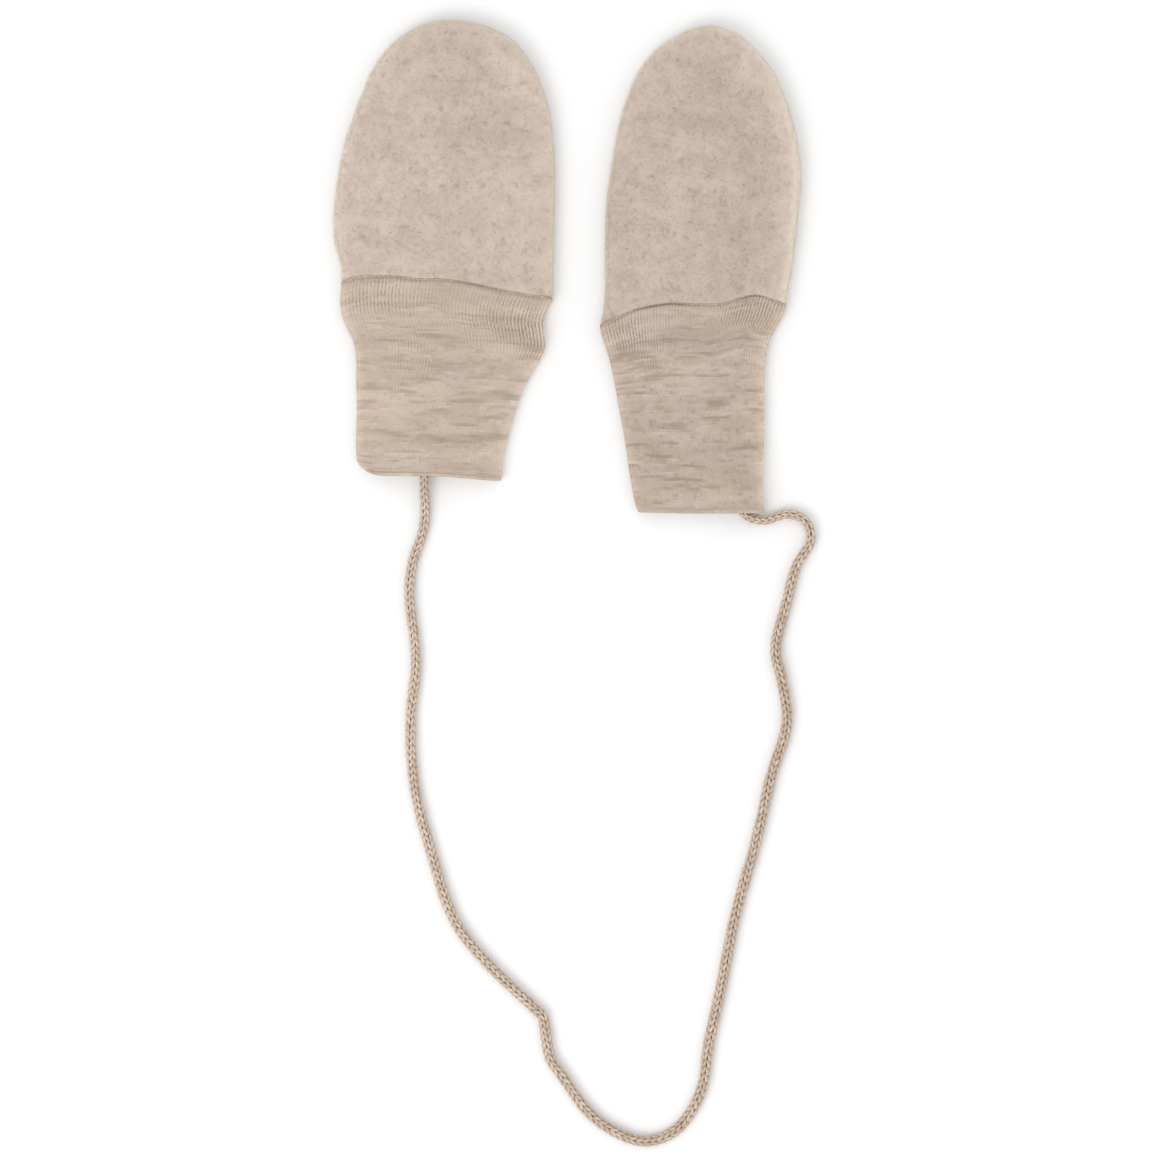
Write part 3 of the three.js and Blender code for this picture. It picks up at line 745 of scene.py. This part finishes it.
def fleece_material(name, seed):
    """Brushed wool in a light beige, with soft clouds and fine darker fibres."""
    material, shader = wool(name, roughness=0.95, sheen=0.35)
    inputs = {"Vector": in_metres(material), "Location": (0.37 * seed, 0.11 * seed, 0.05 * seed)}
    place = add_node(material, "ShaderNodeMapping", inputs).outputs[0]
    bent = add_node(material, "ShaderNodeTexNoise", {"Vector": place, "Scale": 300.0, "Detail": 2.0})
    inputs = {0: bent.outputs["Color"], 1: (FLEECE_CURL,) * 3}
    shift = add_node(material, "ShaderNodeVectorMath", inputs, operation="MULTIPLY").outputs[0]
    curled = add_node(material, "ShaderNodeVectorMath", {0: place, 1: shift}).outputs[0]

    def marks(kind, where):
        scale, detail, roughness, start, full = FLEECE_MARKS[kind]
        return faded(material, noise(material, where, scale, detail, roughness), start, full)

    ground = blended(material, marks("clouds", place), colour(*FLEECE_MIDDLE), colour(*FLEECE_LIGHT))
    patches = sum_of(material, "ADD", marks("patches", place), PATCH_LEAST)
    hairs = times(material, marks("hairs", curled), HAIR_SHARE)
    dark = sum_of(material, "MAXIMUM", marks("flecks", curled), hairs)
    dark = sum_of(material, "MAXIMUM", times(material, dark, patches), marks("specks", curled))
    shade = blended(material, times(material, dark, FLECK_SHARE), ground, colour(*FLEECE_FLECK))
    shade = toned(material, shade, at_points(material, "tone"))
    # Painted light: the fleece turns pale along its rim.
    shade = blended(material, at_points(material, "rim"), shade, colour(*FLEECE_PAINTED_RIM_LIGHT))
    matted = sum_of(material, "ADD", noise(material, curled, 1400, 3, 0.6), noise(material, curled, 500, 2))
    return dressed(material, shader, shade, matted, depth=0.0003, strength=0.24)


# The panels of a hand: columns, rows, then height and inset of the upper and the lower face
PANELS = {
    "front": (110, 130, (hand_top, 0), (front_inner, FLEECE_THICK)),
    "back": (60, 80, (back_inner, FLEECE_THICK), (hand_under, 0)),
}
hand_faces = {}
fleece = {}
for number, side in enumerate(("left", "right")):
    fleece[side] = fleece_material(f"{side}_fleece", number + 1)
    layers = []
    for name, (columns, rows, *faces) in PANELS.items():
        grids = [hand_grid(side, columns, rows, inset) for height, inset in faces]
        for grid, (height, inset) in zip(grids, faces):
            layers.append(np.stack([*grid[:2], height(side, *grid)], axis=-1))
        shades = hand_tone_and_painted_light(side, *np.stack([grid[:3] for grid in grids], axis=1))
        panel = piece(f"{side}_{name}_panel", *wall(*layers[-2:]), fleece[side], **shades)
        close_tip(panel)
        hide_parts(f"{side}_hand_{name}")
    hand_faces[side] = [layers[0], layers[-1][:, ::-1]]

# Nap
# The fleece is brushed on its outside, so fine wool fibres stand a little off it and lie in all
# directions. They are what softens the mittens' outline.
FIBRE_RADIUS = 0.000032
FIBRE_LENGTH = 0.0013
FIBRE_LONG = (0.45, 1.35)
FIBRE_RISE = (0.3, 1.3)
FIBRE_BEND = 0.35
FIBRE_ROOT = 0.0001
FACE_FIBRES = 6600
EDGE_FIBRES = 6400
EDGE_ZONE = 0.0024
LYING_BELOW = 0.0004
FACE_FIBRE_LIFT = 0.22
EDGE_FIBRE_LIFT = 0.55
EDGE_FIBRE_PAINTED_LIGHT = 0.46


def scattered(face, count, random, edge_only):
    """Random places on a grid of points, evenly over its area, with the way out at each."""
    right = face[:-1, 1:] - face[:-1, :-1]
    up = face[1:, :-1] - face[:-1, :-1]
    out = np.cross(right, up)
    area = np.linalg.norm(out, axis=-1)
    middle = (face[:-1, :-1] + face[1:, 1:]) / 2
    lying = (middle[..., 2] < LYING_BELOW) | (area < 1e-12)
    chance = np.where(lying, 0, area)
    if edge_only:
        chance = np.where(np.abs(middle[..., 2] - HAND_SEAM_HEIGHT) < EDGE_ZONE, chance, 0)
    cell = random.choice(chance.size, count, p=chance.ravel() / chance.sum())
    row, column = np.unravel_index(cell, chance.shape)
    share = random.random((2, count, 1))
    places = face[row, column] + share[0] * right[row, column] + share[1] * up[row, column]
    return places, unit(out[row, column])


def fibres(roots, out, lift, length, radius, random):
    """Thin curved hairs that start at the roots; lift is how far they stand up."""
    count = len(roots)
    any_way = unit(random.normal(0, 1, (count, 3)))
    flat = unit(any_way - (any_way * out).sum(1, keepdims=True) * out)
    aside = np.cross(out, flat)
    long = length * random.uniform(*FIBRE_LONG, (count, 1))
    rise = lift * random.uniform(*FIBRE_RISE, (count, 1))
    bend = random.normal(0, FIBRE_BEND, (count, 1))
    middle = roots + long * (0.5 * flat + rise * 0.7 * out + 0.25 * bend * aside)
    tip = roots + long * (0.95 * flat + rise * out + bend * aside)
    centres = np.stack([roots - FIBRE_ROOT * out, middle, tip], axis=1)
    centres[..., 2] = np.maximum(centres[..., 2], radius)
    thin = np.array([1, 0.85, 0.25])[None, :, None] * radius
    across = unit(np.cross(tip - roots, out))[:, None]
    upwards = np.cross(across, unit(tip - roots)[:, None]) * thin
    return yarns(centres, across * thin, upwards, sides=3)


for number, side in enumerate(("left", "right")):
    random = np.random.default_rng(31 + number)
    roots, out = scattered(hand_faces[side][0], FACE_FIBRES, random, False)
    for face in hand_faces[side]:
        rim, rim_out = scattered(face, EDGE_FIBRES // 2, random, True)
        roots, out = np.vstack([roots, rim]), np.vstack([out, rim_out])
    at_edge = np.arange(len(roots)) >= FACE_FIBRES
    lift = np.where(at_edge, EDGE_FIBRE_LIFT, FACE_FIBRE_LIFT)[:, None]
    points, faces = fibres(roots, out, lift, FIBRE_LENGTH, FIBRE_RADIUS, random)
    x, y = roots[:, 0], roots[:, 1]
    shades = hand_tone_and_painted_light(side, x, y, distance_to_edge(side, x, y))
    # Painted light: the fibres at the edge are paler still, against the shade at the table.
    shades["rim"] = shades["rim"] + EDGE_FIBRE_PAINTED_LIGHT * at_edge
    shades = {key: np.repeat(value, len(points) // len(roots)) for key, value in shades.items()}
    nap = piece(f"{side}_nap", points, faces, fleece[side], **shades)

# Cuffs
# Each cuff is a tube of doubled 1x1 rib knit, laid flat, with its fold at the mouth. The wool is
# a melange, so each row of stitches changes shade along its length.
CUFF_THICK = 0.0019
CUFF_SEAM_HEIGHT = 0.0027
CUFF_TOP = 0.0055
CUFF_ROUND = 0.0029
CUFF_SEAM_ROLL = 0.0022
CUFF_SEAM_SHARE = 0.94
CUFF_SEAM_SUNK = 0.18
CUFF_SWELL = 0.0009
CUFF_SWELL_REACH = 0.006
CUFF_BOW_FADE = 3
CUFF_ACROSS_MM = 62
CUFF_ROWS = 46
CUFF_ROW_CROWD = 1.1
CUFF_LAST_ROW = 0.985
CUFF_HOLLOW_ROWS = 10
CUFF_HOLLOW_CROWD = 0.6
FOLD_ROWS = 7
SIDE_CLOSE = 0.014
RIBS_ACROSS = 58
RIB_PLACES = 6
RIB_PLACES_BELOW = 4
RIB_RELIEF = 0.0003
COURSE_MM = 0.78
ROW_WAVE_MM = 2.2
RIB_LEAST = 0.12
RIB_NEAR_SEAM = 0.10
RIB_FADE = 0.008
MOUTH_LIFT_INSIDE = 0.009
MOUTH_LIFT_FADE = 0.014
MOUTH_EDGE = 0.00095
CUFF_PAINTED_RIM_LIGHT = {"left": (0.10, 0.32), "right": (0.09, 0.36)}
CUFF_RIM_REACH = 0.0019
CUFF_TONE = {"left": 0.995, "right": 0.935}
CUFF_STREAKED = {"left": 0.52, "right": 0.64}
# Pale streaks of the melange, and the painted highlight on the rib crests
CUFF_PALE_AND_CREST_HIGHLIGHT = (230, 214, 198)
CUFF_LIGHT = (200, 182, 167)
CUFF_MIDDLE = (188, 170, 154)
# Dark streaks of the melange, and the painted shade in the rib grooves
CUFF_DARK_AND_GROOVE_SHADE = (140, 120, 103)
STREAKS_AT_SEAM = 0.68
STREAKS_FURTHER = 0.26
SHORT_SHARE = 0.75
GRAIN_SHARE = 0.5
FAINT_SHARE = 0.34
LIGHT_SHARE = 0.22
GROOVE_SHADE_SHARE = 0.70
CREST_HIGHLIGHT_SHARE = 0.50

# Streaks of the knit: length and height in mm, shift, detail, where they start and are full
KNIT_STREAKS = {
    "wide": (22.0, 4.2, 1.5, 3, 0.34, 0.66),
    "fine": (14.0, 1.2, 7.5, 6, 0.47, 0.69),
    "short": (3.4, 1.0, 3.5, 4, 0.49, 0.73),
    "grain": (1.3, 0.9, 9.5, 2, 0.50, 0.78),
    "faint": (8.0, 16.0, 12.5, 2, 0.42, 0.66),
    "broken": (1.3, 1.3, 5.5, 2, 0.40, 0.60),
    "light": (9.0, 1.1, 14.5, 2, 0.56, 0.76),
}

# Places on the cuff's two side edges, from the seam to the mouth: left x, left y, right x, right y
CUFF_EDGES = {
    "left": [
        (-0.0745, -0.0058, -0.0047, -0.0108),
        (-0.0750, -0.0110, -0.0064, -0.0138),
        (-0.0744, -0.0160, -0.0079, -0.0182),
        (-0.0726, -0.0204, -0.0075, -0.0229),
        (-0.0705, -0.0250, -0.0074, -0.0270),
        (-0.0697, -0.0308, -0.0101, -0.0328),
        (-0.0696, -0.0387, -0.0139, -0.0392),
        (-0.0694, -0.0466, -0.0169, -0.0468),
        (-0.0696, -0.0539, -0.0191, -0.0545),
        (-0.0697, -0.0600, -0.0209, -0.0614),
        (-0.0692, -0.0644, -0.0215, -0.0668),
        (-0.0670, -0.0673, -0.0217, -0.0709),
    ],
    "right": [
        (0.0107, -0.0200, 0.0722, -0.0132),
        (0.0115, -0.0233, 0.0703, -0.0177),
        (0.0129, -0.0275, 0.0674, -0.0227),
        (0.0142, -0.0320, 0.0658, -0.0283),
        (0.0153, -0.0372, 0.0651, -0.0352),
        (0.0166, -0.0443, 0.0649, -0.0438),
        (0.0180, -0.0520, 0.0649, -0.0519),
        (0.0194, -0.0604, 0.0648, -0.0604),
        (0.0205, -0.0683, 0.0645, -0.0684),
        (0.0217, -0.0753, 0.0644, -0.0756),
        (0.0231, -0.0811, 0.0646, -0.0814),
    ],
}

# Height of the mouth's edge above the straight line between its ends: share across, rise
MOUTH_RISE = {
    "left": [(0, 0), (0.08, -0.0011), (0.22, -0.0010), (0.5, -0.0001), (1, 0)],
    "right": [(0, 0), (0.5, -0.00025), (1, 0)],
}

# The arch of the mouth over the cord: x, width, rise
MOUTH_LIFT = {"left": (-0.0471, 0.010, 0.0032), "right": (0.0570, 0.0085, 0.0034)}

# Places where the knit is stretched open and shows its ribs: x, y, length, width, turn, share
RIB_PATCHES = {
    "left": [
        (-0.0620, -0.0110, 0.0280, 0.0055, -2, 0.60),
        (-0.0190, -0.0185, 0.0260, 0.0080, -18, 0.85),
        (-0.0110, -0.0260, 0.0140, 0.0060, -50, 0.6),
        (-0.0400, -0.0180, 0.0200, 0.0050, -5, 0.12),
    ],
    "right": [
        (0.0200, -0.0215, 0.0150, 0.0055, 10, 1.0),
        (0.0600, -0.0150, 0.0180, 0.0060, 8, 1.15),
        (0.0590, -0.0290, 0.0120, 0.0060, 0, 0.3),
        (0.0400, -0.0150, 0.0200, 0.0040, 0, 0.10),
    ],
}

# Paler and darker places of the knit, some its melange tone and some painted light and shade: the long
# strips along the side edges are painted light, and the dark diagonal beside the left cuff's bulge is
# painted shade under it. Columns: x, y, length, width, turn in degrees, share
CUFF_TONES_AND_PAINTED_LIGHT = {
    "left": [
        (-0.019, -0.021, 0.030, 0.0035, -37, -0.10),
        (-0.038, -0.034, 0.016, 0.0035, -3, -0.09),
        (-0.064, -0.013, 0.014, 0.0040, 0, -0.05),
        (-0.032, -0.056, 0.016, 0.0030, 0, -0.05),
        (-0.058, -0.048, 0.018, 0.0030, 0, 0.05),
        (-0.068, -0.050, 0.040, 0.007, 90, 0.055),
    ],
    "right": [
        (0.042, -0.0245, 0.026, 0.0035, 0, -0.04),
        (0.056, -0.039, 0.018, 0.0040, 0, -0.07),
        (0.026, -0.053, 0.020, 0.0035, 0, -0.07),
        (0.050, -0.062, 0.020, 0.0035, -8, -0.07),
        (0.028, -0.066, 0.016, 0.0035, 0, -0.05),
        (0.036, -0.033, 0.022, 0.0030, 0, 0.06),
        (0.020, -0.034, 0.012, 0.0050, 60, 0.05),
        (0.064, -0.050, 0.060, 0.005, 90, 0.095),
    ],
}

# Soft ridges and troughs of the cuffs: x, y, length, width, turn in degrees, rise
CUFF_FOLDS = {
    "left": [
        (-0.012, -0.026, 0.009, 0.0045, 20, 0.0015),
        (-0.019, -0.0325, 0.013, 0.0026, 28, -0.00055),
        (-0.013, -0.0175, 0.008, 0.0026, -12, -0.00045),
        (-0.067, -0.0575, 0.005, 0.0018, 4, -0.0004),
        (-0.050, -0.014, 0.022, 0.005, -5, 0.0005),
    ],
    "right": [
        (0.016, -0.024, 0.008, 0.004, -62, 0.0009),
        (0.063, -0.017, 0.009, 0.004, 60, 0.0008),
        (0.062, -0.025, 0.010, 0.0024, 30, -0.0005),
        (0.025, -0.076, 0.010, 0.0018, 3, -0.00035),
        (0.040, -0.027, 0.024, 0.005, 2, 0.00045),
    ],
}


def cuff_columns():
    """Shares of the way across the top from left to right, then back underneath."""
    even = np.linspace(0, 1, RIBS_ACROSS * RIB_PLACES + 1)
    close = SIDE_CLOSE * np.linspace(0, 1, 8)[1:-1] ** 2
    top = np.unique(np.concatenate([even, close, 1 - close]))
    below = np.linspace(0, 1, RIBS_ACROSS * RIB_PLACES_BELOW + 1)
    below = np.unique(np.concatenate([below, close, 1 - close]))[1:-1][::-1]
    upper = np.concatenate([np.ones(len(top)), np.zeros(len(below))])
    return np.concatenate([top, below]), upper


def cuff_rings(side, along, back, depth):
    """Rings of the cuff and its knit's values; depth 0 is its outer face and 1 its inner face."""
    rows = np.array(CUFF_EDGES[side])
    along, back, depth = along[:, None], back[:, None], depth[:, None]
    left = edge_points(rows[:, :2], along)
    right = edge_points(rows[:, 2:], along)
    width = np.linalg.norm(right - left, axis=-1)
    length = rows[0, 1] - rows[-1, 1]
    column, upper = cuff_columns()
    inset = CUFF_THICK * depth / width
    across = inset + (1 - 2 * inset) * column
    chord = left[..., 1] + (right[..., 1] - left[..., 1]) * across
    rise = table_curve(SEAM_RISE[side], across) * (1 - along) ** CUFF_BOW_FADE
    rise = rise + table_curve(MOUTH_RISE[side], across) * along**CUFF_BOW_FADE
    x = left[..., 0] + (right[..., 0] - left[..., 0]) * across
    y = chord + rise - SEAM_GAP / 2 * (1 - along) + back
    from_side = np.minimum(across, 1 - across) * width
    outer_shoulder = quarter_round(from_side / CUFF_ROUND)
    inner_shoulder = quarter_round((from_side - CUFF_THICK) / CUFF_ROUND)
    from_seam, from_mouth = along * length, (1 - along) * length
    arch_x, arch_wide, arch_rise = MOUTH_LIFT[side]
    fade = np.clip((from_mouth - MOUTH_LIFT_INSIDE) / MOUTH_LIFT_FADE, 0, 1)
    lift = arch_rise * bell(x - arch_x, arch_wide) * (1 - fade**2 * (3 - 2 * fade))
    lift = lift + fold_height(CUFF_FOLDS[side], x, y) + CUFF_SWELL * bell(from_seam, CUFF_SWELL_REACH)
    ribs = 0.5 - 0.5 * np.cos(2 * np.pi * RIBS_ACROSS * column)
    ribbed = fold_height(RIB_PATCHES[side], x, y) + RIB_NEAR_SEAM * bell(from_seam, RIB_FADE)
    strength = np.clip(ribbed, RIB_LEAST, 1)
    relief = RIB_RELIEF * ribs**0.8 * strength
    share = CUFF_SEAM_SHARE - CUFF_SEAM_SUNK * seam_sunk(side, x)
    roll = share + (1 - share) * quarter_round(from_seam / CUFF_SEAM_ROLL)
    outer = CUFF_SEAM_HEIGHT + (CUFF_TOP - CUFF_SEAM_HEIGHT + lift) * outer_shoulder * roll
    outer = outer + relief * outer_shoulder
    inner = CUFF_SEAM_HEIGHT + (CUFF_TOP - CUFF_SEAM_HEIGHT - CUFF_THICK + lift) * inner_shoulder * roll
    low_outer = CUFF_SEAM_HEIGHT * (1 - outer_shoulder) + (RIB_RELIEF * strength - relief) * outer_shoulder
    low_inner = CUFF_SEAM_HEIGHT - (CUFF_SEAM_HEIGHT - CUFF_THICK) * inner_shoulder
    above = outer + (inner - outer) * depth
    below = low_outer + (low_inner - low_outer) * depth
    points = np.stack([x, y, np.where(upper > 0, above, below)], axis=-1)
    # Painted light along the cuff's side edges, stronger on the right.
    rim = np.interp(across, (0, 1), CUFF_PAINTED_RIM_LIGHT[side]) * bell(from_side, CUFF_RIM_REACH)
    values = {
        "around": np.where(upper > 0, across, 2 - across),
        "down": from_seam + 0 * across,
        "ribbed": ribbed,
        "tone": CUFF_TONE[side] * (1 + rim + fold_height(CUFF_TONES_AND_PAINTED_LIGHT[side], x, y)),
    }
    return points, values


def rib_material(name, seed, streaked):
    """Fine wool rib in a taupe melange, with rows of small V stitches, painted shade in the grooves of its
    ribs and a painted highlight on their crests.
    """
    material, shader = wool(name, roughness=0.9, sheen=0.2)
    around, ribbed = at_points(material, "around"), at_points(material, "ribbed")
    across_mm = times(material, around, CUFF_ACROSS_MM)
    wave = times(material, noise(material, in_metres(material), 90, 1), ROW_WAVE_MM)
    down_mm = sum_of(material, "MULTIPLY_ADD", at_points(material, "down"), 1000, wave)
    courses = sum_of(material, "DIVIDE", down_mm, COURSE_MM)
    row_mm = times(material, sum_of(material, "FLOOR", courses), COURSE_MM)
    dark_wool_and_groove_shade, pale_wool_and_crest_highlight = colour(*CUFF_DARK_AND_GROOVE_SHADE), colour(*CUFF_PALE_AND_CREST_HIGHLIGHT)

    def uneven(long, tall, shift, detail, down_it=down_mm):
        inputs = {
            "X": sum_of(material, "DIVIDE", across_mm, long),
            "Y": sum_of(material, "DIVIDE", down_it, tall),
            "Z": shift + seed,
        }
        place = add_node(material, "ShaderNodeCombineXYZ", inputs).outputs[0]
        return noise(material, place, 1.0, detail)

    def streaks(kind, down_it=down_mm):
        *size, start, full = KNIT_STREAKS[kind]
        return faded(material, uneven(*size, down_it), start, full)

    ground = blended(material, streaks("wide"), colour(*CUFF_MIDDLE), colour(*CUFF_LIGHT))
    lower = faded(material, down_mm, 5, 20)
    at_seam, further = STREAKS_AT_SEAM * streaked, STREAKS_FURTHER * streaked
    share = sum_of(material, "MULTIPLY_ADD", lower, further, at_seam)
    drift = times(material, uneven(8.0, 6.0, 21.5, 1), 0.7)
    rib = sum_of(material, "MULTIPLY_ADD", around, RIBS_ACROSS, drift)
    in_rib = sum_of(material, "PINGPONG", rib, 0.5)
    on_rib = sum_of(material, "MULTIPLY_ADD", faded(material, in_rib, 0.45, 0.1), 0.3, 0.75)
    short = times(material, streaks("short", row_mm), SHORT_SHARE)
    dark = times(material, sum_of(material, "MAXIMUM", streaks("fine", row_mm), short), on_rib)
    dark = sum_of(material, "MAXIMUM", dark, times(material, streaks("grain"), GRAIN_SHARE))
    shade = blended(material, times(material, dark, share), ground, dark_wool_and_groove_shade)
    open_knit = sum_of(material, "MULTIPLY_ADD", streaks("faint"), FAINT_SHARE, ribbed)
    shown = times(material, open_knit, streaks("broken"))
    # Painted shade in the ribs' grooves and painted highlight on their crests, where the ribs show.
    groove_shade = times(material, faded(material, in_rib, 0.30, 0.03), shown)
    crest_highlight = times(material, faded(material, in_rib, 0.24, 0.48), shown)
    shade = blended(material, times(material, groove_shade, GROOVE_SHADE_SHARE), shade, dark_wool_and_groove_shade)
    shade = blended(material, times(material, crest_highlight, CREST_HIGHLIGHT_SHARE), shade, pale_wool_and_crest_highlight)
    light = times(material, streaks("light", row_mm), LIGHT_SHARE)
    shade = toned(material, blended(material, light, shade, pale_wool_and_crest_highlight), at_points(material, "tone"))
    course = sum_of(material, "ADD", courses, times(material, in_rib, 0.9))
    loops = sum_of(material, "SINE", times(material, course, 2 * math.pi))
    round_yarn = times(material, loops, 0.35)
    return dressed(material, shader, shade, round_yarn, depth=0.00012, strength=0.8)


for number, side in enumerate(("left", "right")):
    outer = (np.arange(CUFF_ROWS) / CUFF_ROWS) ** CUFF_ROW_CROWD * CUFF_LAST_ROW
    turn = np.linspace(0, np.pi, FOLD_ROWS)
    inner = (np.arange(CUFF_HOLLOW_ROWS)[::-1] / CUFF_HOLLOW_ROWS) ** CUFF_HOLLOW_CROWD
    along = np.concatenate([outer, np.ones(FOLD_ROWS), inner])
    back = np.concatenate([0 * outer, MOUTH_EDGE * (1 - np.sin(turn)), 0 * inner])
    depth = np.concatenate([0 * outer, 0.5 - 0.5 * np.cos(turn), 0 * inner + 1])
    points, values = cuff_rings(side, along, back, depth)
    rings, columns, _ = points.shape
    here = np.arange(rings * columns).reshape(rings, columns)
    beside = np.roll(here, -1, axis=1)
    below = np.roll(here, -1, axis=0)
    faces = four_sided(here, below, np.roll(below, -1, axis=1), beside)
    material = rib_material(f"{side}_rib", 20.0 * number, CUFF_STREAKED[side])
    cuff = piece(f"{side}_ribbed_cuff", points.reshape(-1, 3), faces, material, **values)
    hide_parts(f"{side}_cuff")

# Seams
# Hand and cuff are overlocked together on the inside, and so are the two panels of a hand. From
# outside only the rolled seam shows, sunk in its crease.
SEAM_RADIUS = 0.00056
SEAM_RISE_ON_TOP = 0.0011
EDGE_SEAM_RADIUS = 0.00042
EDGE_SEAM_INSET = 0.0009
EDGE_SEAM_SHARES = (0.004, 0.996)
SEAM_DEPTH = 0.35
OVERLOCK_PITCH = 0.0016
OVERLOCK_PULL = 0.12
SEAM_BROWN = (166, 146, 129)


def seam_material():
    """Wool thread and cloth edge, a shade darker than the knit."""
    material, shader = wool("seam_wool", roughness=0.95, sheen=0.2)
    place = in_metres(material)
    spots = faded(material, noise(material, place, 900, 3), 0.3, 0.7)
    shade = blended(material, spots, colour(*SEAM_BROWN), colour(*CUFF_MIDDLE))
    hairy = noise(material, place, 2400, 2)
    return dressed(material, shader, shade, hairy, depth=0.0001, strength=0.6)


def rolled(line, radius):
    """A round roll of cloth along a line, pulled in by the thread at every stitch."""
    ahead = unit(np.gradient(line, axis=0))
    gone = np.concatenate([[0], np.cumsum(np.linalg.norm(np.diff(line, axis=0), axis=1))])
    thick = radius * (1 + OVERLOCK_PULL * np.sin(2 * np.pi * gone / OVERLOCK_PITCH))[:, None]
    aside = unit(np.cross(ahead, (0.05, 0.1, 1)))
    sideways, upwards = aside * thick, np.cross(aside, ahead) * thick
    return yarns(line[None], sideways[None], upwards[None], sides=6)


seam_wool = seam_material()
for side in ("left", "right"):
    ring = cuff_rings(side, np.zeros(1), np.array([SEAM_GAP / 2]), np.array([SEAM_DEPTH]))[0][0]
    on_top = np.clip((ring[:, 2] - CUFF_SEAM_HEIGHT) / (CUFF_TOP - CUFF_SEAM_HEIGHT), 0, 1)
    ring[:, 2] += SEAM_RISE_ON_TOP * on_top * (1 - seam_sunk(side, ring[:, 0]))
    ring = np.vstack([ring, ring[:2]])
    wrist = piece(f"{side}_wrist_seam", *rolled(ring, SEAM_RADIUS), seam_wool)
    along = np.linspace(*EDGE_SEAM_SHARES, 460)
    places = inset_edge(hand_outline(side), along, NAP_DEPTH + EDGE_SEAM_INSET)
    line = np.column_stack([places, np.full(len(places), HAND_SEAM_HEIGHT)])
    edge = piece(f"{side}_edge_seam", *rolled(line, EDGE_SEAM_RADIUS), seam_wool)

# Cord ends
# Inside each mouth the cord's end is whipped with thread and sewn to the back of the cuff.
WHIPPING_TURNS = 5
WHIPPING_PITCH = 0.00042
WHIPPING_THREAD = 0.00021
WHIPPING_INSET = 4

whipping_steps = round(WHIPPING_TURNS * WHIPPING_PITCH / cord_step)
right_start = len(cord_line) - 1 - WHIPPING_INSET - whipping_steps
turn = np.linspace(0, 2 * np.pi * WHIPPING_TURNS, 24 * WHIPPING_TURNS)
for side, start in (("left", WHIPPING_INSET), ("right", right_start)):
    at = start * cord_step + turn / (2 * np.pi) * WHIPPING_PITCH
    aside, up, ahead = on_cord(cord_side, at), on_cord(cord_up, at), on_cord(cord_ahead, at)
    outward = np.cos(turn)[:, None] * aside + np.sin(turn)[:, None] * up
    radius = CORD_DIAMETER / 2 * cord_change(at, 1) + WHIPPING_THREAD / 2
    line = on_cord(cord_line, at) + outward * radius[:, None]
    sideways, upwards = outward * WHIPPING_THREAD, ahead * WHIPPING_THREAD
    whipping = yarns(line[None], sideways[None], upwards[None], sides=5)
    piece(f"{side}_cord_whipping", *whipping, seam_wool)

# Cord fuzz
# Short wool fibres stand off the yarn of the cord, all along it.
FUZZ_FIBRES = 3600
FUZZ_LENGTH = 0.0011
FUZZ_RADIUS = 0.000026
FUZZ_LIFT = 0.7

random = np.random.default_rng(57)
at = random.uniform(STITCH_LENGTH, cord_length - STITCH_LENGTH, FUZZ_FIBRES)
angle = random.uniform(0, 2 * np.pi, FUZZ_FIBRES)[:, None]
outward = np.cos(angle) * on_cord(cord_side, at) + np.sin(angle) * on_cord(cord_up, at)
radius = (CORD_CORE_RADIUS + YARN_DEEP) * cord_change(at, 1)
roots = on_cord(cord_line, at) + outward * radius[:, None]
lift = np.full((FUZZ_FIBRES, 1), FUZZ_LIFT)
points, faces = fibres(roots, outward, lift, FUZZ_LENGTH, FUZZ_RADIUS, random)
bright = np.ones(len(points))
fuzz = piece("cord_fuzz", points, faces, cord.data.materials[0], out=bright, tint=bright)

# Table
# A plain white surface, lit so softly that only the mittens' own shadow shows on it.
TABLE_HALF = 2.0
TABLE_WHITE = (0.93, 0.93, 0.93, 1)

table_mesh = bpy.data.meshes.new("table")
corners = [(x * TABLE_HALF, y * TABLE_HALF, 0) for x, y in ((-1, -1), (1, -1), (1, 1), (-1, 1))]
table_mesh.from_pydata(corners, [], [(0, 1, 2, 3)])
table_material = bpy.data.materials.new("table_white")
table_material.use_nodes = True
table_shader = table_material.node_tree.nodes["Principled BSDF"]
table_shader.inputs["Base Color"].default_value = TABLE_WHITE
table_shader.inputs["Roughness"].default_value = 0.9
table_shader.inputs["Specular IOR Level"].default_value = 0.0
table_mesh.materials.append(table_material)
table = put("table", table_mesh)

# Light
# One broad soft light stands beyond the lower left, and the white room fills in the rest.
ROOM_COLOUR = (0.985, 0.993, 1, 1)
ROOM_STRENGTH = 0.946
WINDOW_SIZE = 0.9
WINDOW_WATTS = 6.8
WINDOW_COLOUR = (1, 0.99, 0.98)
WINDOW_PLACE = (-0.68, -0.84, 1.1)

room = bpy.data.worlds.new("room")
room.use_nodes = True
room.node_tree.nodes["Background"].inputs["Color"].default_value = ROOM_COLOUR
room.node_tree.nodes["Background"].inputs["Strength"].default_value = ROOM_STRENGTH
bpy.context.scene.world = room
daylight = bpy.data.lights.new("window", "AREA")
daylight.shape = "DISK"
daylight.size = WINDOW_SIZE
daylight.energy = WINDOW_WATTS
daylight.color = WINDOW_COLOUR
window = put("window", daylight)
window.location = WINDOW_PLACE
aim = window.constraints.new("TRACK_TO")
aim.target = table
aim.track_axis = "TRACK_NEGATIVE_Z"
aim.up_axis = "UP_Y"
bpy.context.scene.view_settings.view_transform = "Standard"
